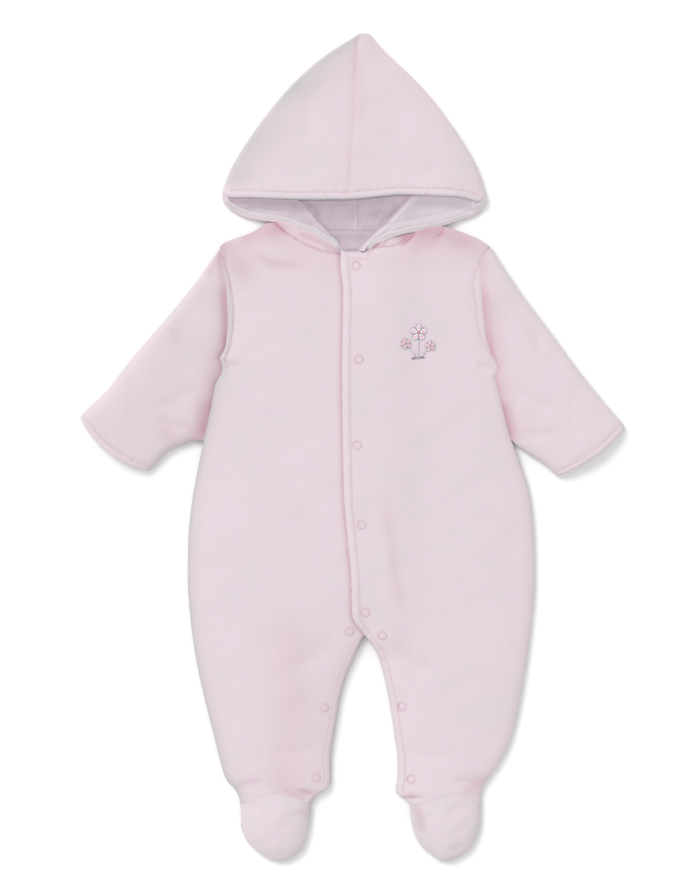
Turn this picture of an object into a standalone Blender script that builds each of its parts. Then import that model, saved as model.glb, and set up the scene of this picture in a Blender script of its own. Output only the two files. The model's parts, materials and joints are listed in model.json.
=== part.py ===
"""Baby's hooded velour bunting suit, laid flat with its front up and its sleeves out.

Every cut and sewn piece is its own closed solid. Lengths in the tables are millimetres. The frame is
+Z up from the surface that the suit lies on, +Y towards the hood's peak and +X to the wearer's left,
with the origin on the surface at the middle of the outline's box. Right and left are the wearer's.
"""

from typing import NamedTuple

import bmesh
import bpy
import numpy as np

MM = 0.001

# Cloth: velour, thin wadding and jersey, quilted into one wall.
WALL = 4.0
HOOD_WALL = 3.5
LINING = 1.2
SEAM_GAP = 0.3
EDGE_WALL = 1.5
EDGE_STEPS = (0.0, 2.0, 6.0)
EDGE_ROUND = 6.0
CAP_SEGMENTS = 4

# Levels, up from the surface.
FRONT_FLOOR = WALL + SEAM_GAP
OVERLAP_LIFT = WALL + SEAM_GAP
LAPEL_FLOOR = 2 * (WALL + SEAM_GAP) + SEAM_GAP
LAPEL_SHIFT = 8.0

# Hood. A narrow half's side fold takes no more than CAP_SHARE of its width.
HOOD_CAP = 6.0
CAP_SHARE = 0.4
INNER_CAP = 2.0
HOOD_INNER_INSET = 3.4
HOOD_SLOT = 0.5
FOLD_GAP = 0.4
LIP_BULGE = 9.0
LIP_BULGE_LENGTH = 80.0
LIP_BULGE_SIDE = 25.0
LIP_BEND_TOP = 300.0
LIP_BEND_SIDE = 9.0
MOUTH_CORNER = 219.0
NECK_SEAM = 196.0
LAPEL_TOP = 221.0
LAPEL_FULL = 206.0
LAPEL_DROP = 12.0
HEM = 6.0
HEM_SHARE = 0.45
LINING_TOP = 242.0
HIDDEN_FOLD_SHARE = 0.42
BACK_LINING_RIGHT = -31.0
BACK_LINING_LEFT = 39.0
BACK_LINING_WALL = 1.0
BACK_LINING_MARGIN = 1.5
BACK_LINING_SEAM = 0.8
BACK_LINING_LOW = 178.5

# Front opening.
CROTCH = -170.0
NECK_MIDDLE = 8.0
INSEAM_INSET = 0.5
UNDERLAP_MARGIN = 6.0
OVERLAP_SLOPE = 14.0
OVERLAP_END = -194.0
OVERLAP_END_SLOPE = 22.0

# Sleeves.
SLEEVE_CAP = 6.0
SLEEVE_SLOT = 0.4
ARMHOLE_GAP = 0.8

# How far up or down a panel its rows bend to follow its top or bottom edge.
PANEL_BEND = 60.0
FOOT_BEND = 30.0
ANKLE = -322.0

# Snaps and motif.
SNAP_RING = 3.6
SNAP_TUBE = 0.7
SNAP_SEGMENTS = 12
SNAP_TUBE_SEGMENTS = 4
POSY_RADIUS = 12.5
POSY_LOBES = 5
POSY_LOBE_DEPTH = 0.2
POSY_SEGMENTS = 30
POSY_HEIGHT = 0.6


class SideRow(NamedTuple):
    """Side edges of trunk and legs at one height."""

    height: float
    right: float
    left: float


class Row(NamedTuple):
    """One place along an edge and the edge's distance there."""

    at: float
    edge: float


class LapelRow(NamedTuple):
    """Hood below the mouth's corner: its rim, and the fold where the lapel drops to the inside."""

    height: float
    rim: float
    fold: float


class SleeveRow(NamedTuple):
    """One section across a sleeve, from its upper fold to its lower seam."""

    top_x: float
    top_y: float
    low_x: float
    low_y: float
    bow: float


class FootRow(NamedTuple):
    """Sides of a foot at one height."""

    height: float
    outer: float
    inner: float


class Snap(NamedTuple):
    """Centre of one snap."""

    x: float
    y: float


SIDES = (
    SideRow(181, -119.5, 123.5),
    SideRow(166, -118.5, 117.5),
    SideRow(146, -114.5, 118),
    SideRow(110, -112.5, 120.5),
    SideRow(87, -115, 125.5),
    SideRow(69, -117.5, 131),
    SideRow(56, -123, 132),
    SideRow(33, -128, 135.5),
    SideRow(11, -133, 141.5),
    SideRow(-18, -139, 152),
    SideRow(-48, -144.5, 160),
    SideRow(-84, -148, 163),
    SideRow(-120, -148.5, 163.5),
    SideRow(-155, -146, 161),
    SideRow(-191, -141, 156.5),
    SideRow(-228, -133, 150.5),
    SideRow(-264, -124, 142),
    SideRow(-286, -118.5, 131),
    SideRow(-300, -113.5, 121),
    SideRow(-308, -106, 116),
    SideRow(-315, -102.5, 115),
    SideRow(ANKLE, -101, 115),
)

INSEAMS = (
    SideRow(CROTCH, 11, 11),
    SideRow(-178, 7, 17.5),
    SideRow(-191, 1, 24),
    SideRow(-209, -6.5, 29),
    SideRow(-228, -11.5, 33),
    SideRow(-246, -14.5, 36),
    SideRow(-264, -17.5, 38.5),
    SideRow(-282, -19.5, 41),
    SideRow(-300, -19.5, 40.5),
    SideRow(-308, -23, 38.6),
    SideRow(-315, -33.5, 44),
    SideRow(ANKLE, -37.5, 51),
)

PLACKET = (
    Row(180, -10.5),
    Row(170, -11),
    Row(138, -8.5),
    Row(71, -9.5),
    Row(-12, -8.5),
    Row(-48, -7.5),
    Row(-76, -5),
    Row(-124, -1),
    Row(-148, -0.5),
    Row(-157, 1.5),
    Row(-163, 6),
    Row(-168, 10),
    Row(CROTCH, 11.5),
)

UNDERLAP = (Row(180, 20), Row(-100, 22), Row(-140, 22), Row(-158, 17), Row(-166, 12), Row(CROTCH, 10.5))

RIGHT_SHOULDER = (
    Row(-119.5, 181),
    Row(-115, 184.5),
    Row(-106, 188),
    Row(-97, 191),
    Row(-88, 195),
    Row(-82, 199),
    Row(-77, 202),
)
LEFT_SHOULDER = (
    Row(82, 199),
    Row(88, 197.5),
    Row(97, 194.5),
    Row(106, 191),
    Row(115, 187),
    Row(119, 184.5),
    Row(123.5, 181),
)
BACK_NECK = (Row(-62, 199), Row(-40, NECK_SEAM), Row(4.5, NECK_SEAM), Row(45, NECK_SEAM), Row(66, 198))
RIGHT_NECK = (
    Row(-65, 203.5),
    Row(-56, 201),
    Row(-47, 198),
    Row(-38, 194.5),
    Row(-29, 190.5),
    Row(-20, 185),
    Row(-10, 178.5),
    Row(0, 176),
    Row(24, 176),
)
LEFT_NECK = (
    Row(-12, 176.5),
    Row(8, 176.5),
    Row(14, 179),
    Row(19.5, 183),
    Row(25, 187),
    Row(34, 190),
    Row(43, 192.5),
    Row(52, 195.5),
    Row(61, 198),
    Row(70, 200),
)

HOOD_SIDES = (
    SideRow(372.8, 6.4, 14),
    SideRow(366.5, -2, 20),
    SideRow(356.5, -20, 29),
    SideRow(348.5, -32, 38),
    SideRow(330.5, -51, 58),
    SideRow(312.5, -67, 74),
    SideRow(294.5, -81, 88),
    SideRow(276.5, -93.5, 100.5),
    SideRow(258.5, -104.5, 110.5),
    SideRow(240.5, -112.5, 117),
    SideRow(224, -117.5, 120),
    SideRow(MOUTH_CORNER, -116, 120),
)
FRONT_SEAM = (
    Row(MOUTH_CORNER, -4.5),
    Row(241, -1),
    Row(277, 0.5),
    Row(330, 2.5),
    Row(360, 6.5),
    Row(372.8, 10.2),
)
BACK_SEAM = (Row(NECK_SEAM, 4.5), Row(240, 4.5), Row(330, 4.5), Row(360, 7), Row(372.8, 10.2))
UPPER_LIP = (
    Row(-117, 223),
    Row(-111, 226),
    Row(-92, 224.5),
    Row(-74, 223.5),
    Row(-11, 222.5),
    Row(7, 223.5),
    Row(43, 226.5),
    Row(61, 226),
    Row(97, 224.5),
    Row(120, 221.5),
)
RIGHT_LAPEL = (
    LapelRow(214.5, -110, -40.5),
    LapelRow(210.5, -101, -37.5),
    LapelRow(206, -88, -33.5),
    LapelRow(202, -68, -29.5),
    LapelRow(NECK_SEAM, -50.5, -23.5),
    LapelRow(191.5, -38, -20.5),
    LapelRow(187.5, -29, -17),
    LapelRow(182, -20, -13),
    LapelRow(178, -14.5, -11.2),
)
LEFT_LAPEL = (
    LapelRow(214.5, 118.5, 43),
    LapelRow(210, 115, 38),
    LapelRow(206, 102, 35),
    LapelRow(201, 82, 30),
    LapelRow(NECK_SEAM, 66, 26),
    LapelRow(191, 47, 21.5),
    LapelRow(187, 34, 17),
    LapelRow(182, 22.5, 11.5),
    LapelRow(177.5, 17, 9),
)

RIGHT_SLEEVE = (
    SleeveRow(-120, 178, -117.5, 70, 0),
    SleeveRow(-146, 142.5, -126, 45, 0),
    SleeveRow(-173, 110, -131, 20, 0),
    SleeveRow(-198.5, 80.5, -146, 4.5, 1),
    SleeveRow(-223, 49, -166, -4, 3),
    SleeveRow(-237, 36, -175, -13, 4.5),
    SleeveRow(-247, 26, -184, -23, 6),
)
LEFT_SLEEVE = (
    SleeveRow(124.5, 178, 131, 70, 0),
    SleeveRow(151, 140.5, 134, 45, 0),
    SleeveRow(178, 104.5, 139, 20, 0),
    SleeveRow(203, 70.5, 157, -6.5, 1),
    SleeveRow(227, 40.5, 172, -15, 3),
    SleeveRow(239, 26.5, 179, -21, 4),
    SleeveRow(247, 17.5, 185, -27, 4.5),
)

RIGHT_FOOT = (
    FootRow(ANKLE, -101, -37.5),
    FootRow(-338, -100.5, -39),
    FootRow(-353, -96.5, -42),
    FootRow(-361, -89.5, -45),
    FootRow(-367, -82.5, -50),
    FootRow(-371, -75, -56.5),
    FootRow(-372.8, -69, -61.5),
)
LEFT_FOOT = (
    FootRow(ANKLE, 115, 51),
    FootRow(-340, 114.5, 53.5),
    FootRow(-353.5, 109.5, 58),
    FootRow(-361, 106, 63.5),
    FootRow(-366, 99, 69.5),
    FootRow(-370.5, 92, 75),
    FootRow(-372.8, 88, 81),
)
RIGHT_VAMP = (
    Row(-101, ANKLE),
    Row(-91, -318),
    Row(-82, -313),
    Row(-70, -311),
    Row(-56, -314),
    Row(-47, -317),
    Row(-37.5, ANKLE),
)
LEFT_VAMP = (
    Row(51, ANKLE),
    Row(62, -320.5),
    Row(74, -316.5),
    Row(83, -312.5),
    Row(92, -311),
    Row(103, -315.5),
    Row(115, ANKLE),
)

SNAPS = (
    Snap(3, 163.5),
    Snap(5.5, 79),
    Snap(4, 2),
    Snap(8, -69.5),
    Snap(11.5, -148),
    Snap(-3, -165.5),
    Snap(26.5, -169),
    Snap(-25.5, -234),
    Snap(44.5, -233),
    Snap(-33, -297),
    Snap(52.5, -298.5),
)
POSY_CENTRE = (58.5, 96.5)

BODY_HEIGHTS = (
    *(181, 179, 175, 168, 157, 140, 112, 88, 69, 56, 35, 12, -18, -48, -84, -120, -145, -158),
    *(CROTCH, -179, -191, -209, -228, -250, -270, -286, -299, -308, -316, -320, ANKLE),
)
HOOD_HEIGHTS = (
    *(372.8, 369.5, 362, 350, 332, 310, 288, 268, 254, LINING_TOP, 232, 224, MOUTH_CORNER),
    *(214.5, 210.5, 206, 201, NECK_SEAM, 191.5, 187.5, 182, 178),
)

# Where a panel's inner columns stand, as shares of the way between its edge steps.
FRONT_SHARES = (0.14, 0.285, 0.45, 0.6, 0.75, 0.87)
BACK_SHARES = (0.15, 0.31, 0.5, 0.75)
SOLE_SHARES = (0.33, 0.67)
HOOD_FRONT_SHARES = (1.0, 0.72, 0.45, 0.22, 0.09)
LAPEL_SHARES = (0.0, 0.35, 0.7, 1.0)
DROP_SHARES = (1 / 3, 2 / 3, 1.0)
NARROW_DROP_SHARES = (0.2, 0.4, 0.6)
POSY_SHARES = (0.0, 0.55, 1.0)
BACK_LINING_COLUMNS = 9
BACK_LINING_ROWS = 4
SLEEVE_FLAT_STEPS = 3
FOOT_HEIGHTS = (ANKLE, -324, -328, -338, -348, -356, -362, -367, -370.8, -372.8)
SLEEVE_SECTIONS = 10


def clear_scene():
    """Removes every object that the scene holds."""
    for old in list(bpy.data.objects):
        bpy.data.objects.remove(old, do_unlink=True)


def cloth_material(name, colour, roughness=0.9, metallic=0.0, sheen=0.4):
    """A Principled material with one linear colour."""
    material = bpy.data.materials.new(name)
    material.use_nodes = True
    shader = material.node_tree.nodes["Principled BSDF"]
    shader.inputs["Base Color"].default_value = (*colour, 1.0)
    shader.inputs["Roughness"].default_value = roughness
    shader.inputs["Metallic"].default_value = metallic
    shader.inputs["Sheen Weight"].default_value = sheen
    return material


def through(stations, values, at):
    """Smooth curve through a table that never swings past its rows (a monotone cubic)."""
    stations = np.asarray(stations, float)
    values = np.asarray(values, float)
    if stations[0] > stations[-1]:
        stations, values = stations[::-1], values[::-1]
    run = np.diff(stations)
    rise = np.diff(values) / run
    slope = np.empty(len(values))
    slope[0], slope[-1] = rise[0], rise[-1]
    same_way = rise[:-1] * rise[1:] > 0
    total = np.where(same_way, rise[:-1] + rise[1:], 1.0)
    slope[1:-1] = np.where(same_way, 2 * rise[:-1] * rise[1:] / total, 0.0)
    at = np.clip(np.asarray(at, float), stations[0], stations[-1])
    cell = np.clip(np.searchsorted(stations, at, side="right") - 1, 0, len(run) - 1)
    t = (at - stations[cell]) / run[cell]
    return (
        values[cell] * (1 + 2 * t) * (1 - t) ** 2
        + values[cell + 1] * t**2 * (3 - 2 * t)
        + run[cell] * (slope[cell] * t * (1 - t) ** 2 - slope[cell + 1] * t**2 * (1 - t))
    )


def along(rows, at):
    """An edge's distance at a place, from a table of Row."""
    return through([row.at for row in rows], [row.edge for row in rows], at)


def smoothstep(t):
    """0 below 0, 1 above 1, and an S between them."""
    t = np.clip(t, 0.0, 1.0)
    return t * t * (3 - 2 * t)


def side_edge(height, side):
    """Outer edge of trunk and leg."""
    return through([row.height for row in SIDES], [getattr(row, side) for row in SIDES], height)


def inseam(height, side):
    """Inner edge of a leg, and the crotch point's place above it."""
    return through([row.height for row in INSEAMS], [getattr(row, side) for row in INSEAMS], height)


def underlap_lift(x, y):
    """How far the left front rises to lie over the right front's underlap."""
    reach = along(UNDERLAP, y) + UNDERLAP_MARGIN
    across = 1 - smoothstep((x - reach) / OVERLAP_SLOPE)
    return OVERLAP_LIFT * across * smoothstep((y - OVERLAP_END) / OVERLAP_END_SLOPE)


def edge_distance(points, border):
    """Shortest distance from each point to a closed outline."""
    start = border
    step = np.roll(border, -1, axis=0) - start
    length2 = np.maximum((step**2).sum(-1), 1e-9)
    away = points[..., None, :] - start
    t = np.clip((away * step).sum(-1) / length2, 0, 1)
    return np.sqrt(((away - t[..., None] * step) ** 2).sum(-1)).min(-1)


def rounded_wall(distance, wall):
    """Wall thickness, full inside and thinning over a quarter ellipse to a rounded edge."""
    t = 1 - np.clip(distance / EDGE_ROUND, 0, 1)
    return EDGE_WALL + (wall - EDGE_WALL) * np.sqrt(np.maximum(1 - t * t, 0))


def outline(grid):
    """The border of a grid of places, in order."""
    return np.concatenate([grid[0], grid[1:, -1], grid[-1, -2::-1], grid[-2:0:-1, 0]])


def columns(start, end, shares):
    """Places across each row: close together near both edges, and at these shares between them."""
    width = np.abs(end - start)[:, None]
    steps = np.minimum(np.array(EDGE_STEPS)[None], width * np.linspace(0, 0.3, len(EDGE_STEPS)))
    first, last = steps[:, -1:], width - steps[:, -1:]
    between = first + (last - first) * np.array(shares)[None]
    reach = np.concatenate([steps, between, width - steps[:, ::-1]], axis=1)
    return start[:, None] + (end - start)[:, None] * reach / width


def mirrored(shares):
    """The same shares counted from the other edge."""
    return tuple(1 - share for share in reversed(shares))


def bent(x, heights, top, bottom, blend=PANEL_BEND):
    """Places at X in rows by height, bent near both ends to follow the top and bottom edges."""
    near_top = smoothstep(1 - (heights[0] - heights) / blend)[:, None]
    near_bottom = smoothstep(1 - (heights - heights[-1]) / blend)[:, None]
    y = heights[:, None] + near_top * (top - heights[0]) + near_bottom * (bottom - heights[-1])
    return np.stack([x, np.broadcast_to(y, x.shape)], axis=-1)


def solid(name, over, under, material, keep=None):
    """One closed body between two grids of points: their cells, and a wall round each free edge."""
    count = over.shape[0] * over.shape[1]
    key = np.round(np.concatenate([over, under], axis=-1).reshape(count, 6), 3)
    _, first, same = np.unique(key, axis=0, return_index=True, return_inverse=True)
    index = same.reshape(over.shape[:2])
    cells = np.stack([index[:-1, :-1], index[:-1, 1:], index[1:, 1:], index[1:, :-1]], axis=-1)
    cells = cells[np.ones(cells.shape[:2], bool) if keep is None else keep].tolist()
    cells = [[corner for i, corner in enumerate(cell) if corner != cell[i - 1]] for cell in cells]
    cells = [cell for cell in cells if len(set(cell)) > 2]
    sides = {(cell[i - 1], cell[i]) for cell in cells for i in range(len(cell))}
    free = [(a, b) for a, b in sorted(sides) if (b, a) not in sides]
    size = len(first)
    faces = [list(cell) for cell in cells]
    faces += [[corner + size for corner in reversed(cell)] for cell in cells]
    faces += [[a, a + size, b + size, b] for a, b in free]
    points = np.concatenate([over.reshape(count, 3)[first], under.reshape(count, 3)[first]]) * MM
    mesh = bpy.data.meshes.new(name)
    mesh.from_pydata(points.tolist(), [], faces)
    mesh.validate()
    mesh.calc_loop_triangles()
    triangles = np.empty(len(mesh.loop_triangles) * 3, np.int32)
    mesh.loop_triangles.foreach_get("vertices", triangles)
    corners = np.empty(len(mesh.vertices) * 3)
    mesh.vertices.foreach_get("co", corners)
    if np.linalg.det(corners.reshape(-1, 3)[triangles.reshape(-1, 3)]).sum() < 0:
        mesh.flip_normals()
    used = np.unique(triangles)
    if len(used) < len(mesh.vertices):
        drop_loose(mesh)
    mesh.materials.append(material)
    piece = bpy.data.objects.new(name, mesh)
    bpy.context.scene.collection.objects.link(piece)
    return piece


def drop_loose(mesh):
    """Removes the points that no face uses."""
    work = bmesh.new()
    work.from_mesh(mesh)
    bmesh.ops.delete(work, geom=[v for v in work.verts if not v.link_faces], context="VERTS")
    work.to_mesh(mesh)
    work.free()


def lifted(places, height):
    """Places with their heights above the surface."""
    return np.concatenate([places, np.broadcast_to(height, places.shape[:-1])[..., None]], axis=-1)


def front_top(x, side):
    """Upper edge of a front: shoulder, then the neckline under the hood's rim."""
    rows = (*RIGHT_SHOULDER, *RIGHT_NECK) if side == "right" else (*LEFT_NECK, *LEFT_SHOULDER)
    return along(rows, x)


def vamp(x, side):
    """Arched seam between a leg's front and the foot top."""
    return along(RIGHT_VAMP if side == "right" else LEFT_VAMP, x)


def build_back(material):
    """Trunk back with both back legs in one piece, flat on the surface."""
    heights = np.array(BODY_HEIGHTS, float)
    right = columns(side_edge(heights, "right"), inseam(heights, "right"), BACK_SHARES)
    left = columns(inseam(heights, "left"), side_edge(heights, "left"), mirrored(BACK_SHARES))
    halves = []
    for x in (right, left):
        top = along((*RIGHT_SHOULDER, *BACK_NECK, *LEFT_SHOULDER), x) - SEAM_GAP
        halves.append(bent(x, heights, top, ANKLE + SEAM_GAP))
    places = np.concatenate(halves, axis=1)
    keep = np.ones((places.shape[0] - 1, places.shape[1] - 1), bool)
    keep[:, halves[0].shape[1] - 1] = False
    right_leg, left_leg = (half[heights <= CROTCH] for half in halves)
    border = np.concatenate(
        [
            *(places[0], places[1:, -1], left_leg[-1, -2::-1]),
            *(left_leg[-2::-1, 0], right_leg[1:, -1], right_leg[-1, -2::-1], places[-2:0:-1, 0]),
        ]
    )
    wall = rounded_wall(edge_distance(places, border), WALL)
    return solid("back", lifted(places, WALL), lifted(places, WALL - wall), material, keep)


def front_grid(side):
    """Places of one front with its leg."""
    heights = np.array(BODY_HEIGHTS, float)
    outer = side_edge(heights, side)
    if side == "right":
        inner = np.where(heights > CROTCH, along(UNDERLAP, heights), inseam(heights, side) - INSEAM_INSET)
        x = columns(outer, inner, FRONT_SHARES)
    else:
        inner = np.where(heights > CROTCH, along(PLACKET, heights), inseam(heights, side) + INSEAM_INSET)
        x = columns(inner, outer, mirrored(FRONT_SHARES))
    return bent(x, heights, front_top(x, side), vamp(x, side) + SEAM_GAP)


def build_front(side, material):
    """One front: flat on the back, the left one rising over the right one's underlap."""
    places = front_grid(side)
    floor = np.full(places.shape[:-1], FRONT_FLOOR)
    if side == "left":
        floor = floor + underlap_lift(places[..., 0], places[..., 1])
    wall = rounded_wall(edge_distance(places, outline(places)), WALL)
    return solid(f"front_{side}", lifted(places, floor + wall), lifted(places, floor), material)


def front_surface(x, y, side):
    """Height of a front's upper face, well inside its edges."""
    lift = underlap_lift(x, y) if side == "left" else 0.0
    return FRONT_FLOOR + WALL + lift


def cap_ring(reach, half_height, offset):
    """Half round end of a folded wall: distances in from the fold, and heights from its middle."""
    angle = np.linspace(np.pi / 2, -np.pi / 2, CAP_SEGMENTS + 1)
    return offset + reach * (1 - np.cos(angle)), half_height * np.sin(angle)


def tube_section(width):
    """Flattened tube across a width: outer and inner distances and heights, once round."""
    half = WALL + SLEEVE_SLOT / 2
    rings = []
    for reach, rise, offset in ((SLEEVE_CAP, half, 0.0), (INNER_CAP, SLEEVE_SLOT / 2, WALL)):
        far, high = cap_ring(reach, rise, offset)
        flat = np.linspace(far[0], width - far[0], SLEEVE_FLAT_STEPS + 2)[1:-1]
        level = np.full(SLEEVE_FLAT_STEPS, rise)
        distance = np.concatenate([far[::-1], flat, width - far, flat[::-1]])
        height = np.concatenate([high[::-1], level, high, -level])
        rings.append((distance, half + height))
    return rings


def build_sleeve(side, material):
    """Sleeve as a flat tube: folded at the top, seamed below, open at armhole and cuff."""
    rows = RIGHT_SLEEVE if side == "right" else LEFT_SLEEVE
    away = -1 if side == "right" else 1
    station = np.arange(len(rows))
    at = np.linspace(0, len(rows) - 1, SLEEVE_SECTIONS)
    column = {name: through(station, [getattr(row, name) for row in rows], at) for name in SleeveRow._fields}
    beside = side_edge(column["low_y"], side) + away * ARMHOLE_GAP
    low_x = away * np.maximum(away * column["low_x"], away * beside)
    over, under = [], []
    for i in range(SLEEVE_SECTIONS):
        start = np.array([column["top_x"][i], column["top_y"][i]])
        reach = np.array([low_x[i], column["low_y"][i]]) - start
        width = np.hypot(*reach)
        across = reach / width
        outward = np.array([across[1], -across[0]]) * (1 if side == "right" else -1)
        for ring, (distance, height) in zip((over, under), tube_section(width)):
            share = distance / width
            bow = column["bow"][i] * 4 * share * (1 - share)
            place = start + distance[:, None] * across + bow[:, None] * outward
            if i == 0:
                place[:, 0] = side_edge(place[:, 1], side) + away * ARMHOLE_GAP
            closed = np.concatenate([lifted(place, height), lifted(place[:1], height[:1])])
            ring.append(closed)
    return solid(f"sleeve_{side}", np.array(over), np.array(under), material)


def lapel_floor(x, y, fold, side):
    """Underside of the hood's back layer: flat inside, raised over the shoulders as the lapel."""
    inward = (x - fold) * (1 if side == "right" else -1)
    lift = LAPEL_FLOOR + (underlap_lift(x - LAPEL_SHIFT, y) if side == "left" else 0.0)
    raised = smoothstep((LAPEL_TOP - y) / (LAPEL_TOP - LAPEL_FULL))
    return lift * raised * (1 - smoothstep(inward / LAPEL_DROP))


def hood_rows(side):
    """Rim, fold and centre seams of one hood half at each height."""
    heights = np.array(HOOD_HEIGHTS, float)
    lapel = RIGHT_LAPEL if side == "right" else LEFT_LAPEL
    inward = 1 if side == "right" else -1
    edge = through([r.height for r in HOOD_SIDES], [getattr(r, side) for r in HOOD_SIDES], heights)
    rim = through([r.height for r in lapel], [r.rim for r in lapel], heights)
    fold = through([r.height for r in lapel], [r.fold for r in lapel], heights)
    front = along(FRONT_SEAM, heights) - inward * SEAM_GAP / 2
    back = along(BACK_SEAM, heights) - inward * SEAM_GAP / 2
    below = heights < MOUTH_CORNER
    edge = np.where(below, rim, edge)
    fold = np.where(below, fold, back + (edge - back) * HIDDEN_FOLD_SHARE)
    return heights, edge, fold, front, back, below


def hood_front_layer(heights, edge, front, side):
    """Front layer from the centre seam to the side fold: outer and inner points."""
    share = np.array(HOOD_FRONT_SHARES)
    inward = 1 if side == "right" else -1
    over, under = [], []
    for y0, outer, seam in zip(heights, edge, front):
        width = abs(seam - outer)
        cap = min(HOOD_CAP, CAP_SHARE * width)
        distance = cap + (width - cap) * share
        x = outer + inward * distance
        near = smoothstep((LIP_BEND_TOP - y0) / (LIP_BEND_TOP - MOUTH_CORNER))
        near = near * smoothstep(distance / LIP_BEND_SIDE)
        y = y0 + near * (along(UPPER_LIP, x) - MOUTH_CORNER)
        lip = along(UPPER_LIP, x) - y
        bulge = LIP_BULGE * smoothstep(1 + lip / LIP_BULGE_LENGTH) * smoothstep(distance / LIP_BULGE_SIDE)
        floor = HOOD_WALL + HOOD_SLOT + bulge
        wall = rounded_wall(-lip, HOOD_WALL)
        over.append(np.stack([x, y, floor + wall], axis=-1))
        under.append(np.stack([x, y, floor], axis=-1))
    return np.array(over), np.array(under)


def hood_cap(heights, edge, front, side):
    """Round fold at the hood's side, from the front layer down to the back layer."""
    inward = 1 if side == "right" else -1
    half = HOOD_WALL + HOOD_SLOT / 2
    over, under = [], []
    for y0, outer, seam in zip(heights, edge, front):
        cap = min(HOOD_CAP, CAP_SHARE * abs(seam - outer))
        small = cap / HOOD_CAP
        for ring, reach, rise, offset in (
            (over, cap, half, 0.0),
            (under, INNER_CAP * small, HOOD_SLOT / 2, HOOD_INNER_INSET * small),
        ):
            distance, height = cap_ring(reach, rise, offset)
            x = outer + inward * distance
            ring.append(np.stack([x, np.full(len(x), y0), half + height], axis=-1))
    return np.array(over), np.array(under)


def hood_back_layer(heights, edge, fold, back, below, side):
    """Back layer with the lapel, from the side fold or rim to the centre back seam."""
    inward = 1 if side == "right" else -1
    places = []
    for outer, crease, seam, rim_row in zip(edge, fold, back, below):
        start = 0.0 if rim_row else min(HOOD_CAP, CAP_SHARE * abs(seam - outer)) + FOLD_GAP
        lapel = abs(crease - outer)
        hem = start + min(HEM, HEM_SHARE * (lapel - start))
        to_fold = hem + (lapel - hem) * np.array(LAPEL_SHARES)
        rest = abs(seam - crease)
        steps = np.minimum(np.array(DROP_SHARES) * LAPEL_DROP, np.array(NARROW_DROP_SHARES) * rest)
        distance = np.concatenate([[start], to_fold, lapel + steps, [lapel + rest]])
        places.append(outer + inward * distance)
    x = np.array(places)
    y = np.repeat(heights[:, None], x.shape[1], axis=1)
    floor = lapel_floor(x, y, fold[:, None], side)
    rim = np.stack([edge[below], heights[below]], axis=-1)
    rounded = rounded_wall(edge_distance(np.stack([x, y], axis=-1), rim), HOOD_WALL)
    wall = np.where(below[:, None], rounded, HOOD_WALL)
    return np.stack([x, y, floor], axis=-1), np.stack([x, y, floor + wall], axis=-1)


def build_hood(side, outer_material, lining_material):
    """One half of the hood in velour, and the lining that shows in its mouth."""
    heights, edge, fold, front, back, below = hood_rows(side)
    front_layer = hood_front_layer(heights, edge, front, side)
    cap_layer = hood_cap(heights, edge, front, side)
    back_layer = hood_back_layer(heights, edge, fold, back, below, side)
    over = np.concatenate([front_layer[0], cap_layer[0][:, :-1], back_layer[0]], axis=1)
    under = np.concatenate([front_layer[1], cap_layer[1][:, :-1], back_layer[1]], axis=1)
    first_back = front_layer[0].shape[1] + cap_layer[0].shape[1] - 1
    fold_column = first_back + len(LAPEL_SHARES)
    keep = np.ones((len(heights) - 1, over.shape[1] - 1), bool)
    keep[heights[:-1] <= MOUTH_CORNER, :first_back] = False
    keep[heights[:-1] <= NECK_SEAM, fold_column:] = False
    solid(f"hood_{side}", over, under, outer_material, keep)

    rows = heights <= LINING_TOP
    inside = back_layer[1][rows][:, 1:]
    keep = np.ones((inside.shape[0] - 1, inside.shape[1] - 1), bool)
    keep[heights[rows][:-1] <= NECK_SEAM, len(LAPEL_SHARES) - 1 :] = False
    low, high = inside.copy(), inside.copy()
    low[..., 2] += SEAM_GAP
    high[..., 2] += SEAM_GAP + LINING
    solid(f"hood_lining_{side}", high, low, lining_material, keep)


def build_back_lining(material):
    """Lining of the back that shows in the neck, between the fronts' necklines and the neck seam."""
    x = np.linspace(BACK_LINING_RIGHT, BACK_LINING_LEFT, BACK_LINING_COLUMNS)
    neckline = np.where(x < NECK_MIDDLE, front_top(x, "right"), front_top(x, "left")) + BACK_LINING_MARGIN
    low = np.clip(neckline, BACK_LINING_LOW, NECK_SEAM - BACK_LINING_MARGIN)
    share = np.linspace(0, 1, BACK_LINING_ROWS)[:, None]
    y = (NECK_SEAM - BACK_LINING_SEAM) * (1 - share) + low * share
    places = np.stack([np.broadcast_to(x, y.shape), y], axis=-1)
    floor = WALL + SEAM_GAP
    over, under = lifted(places, floor + BACK_LINING_WALL), lifted(places, floor)
    return solid("back_lining", over, under, material)


def foot_columns(side, shares):
    """X across a foot's top or sole, and the heights of its rows."""
    rows = RIGHT_FOOT if side == "right" else LEFT_FOOT
    heights = np.array(FOOT_HEIGHTS, float)
    outer = through([r.height for r in rows], [r.outer for r in rows], heights)
    inner = through([r.height for r in rows], [r.inner for r in rows], heights)
    start, end = (outer, inner) if side == "right" else (inner, outer)
    return columns(start, end, shares), heights


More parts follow.
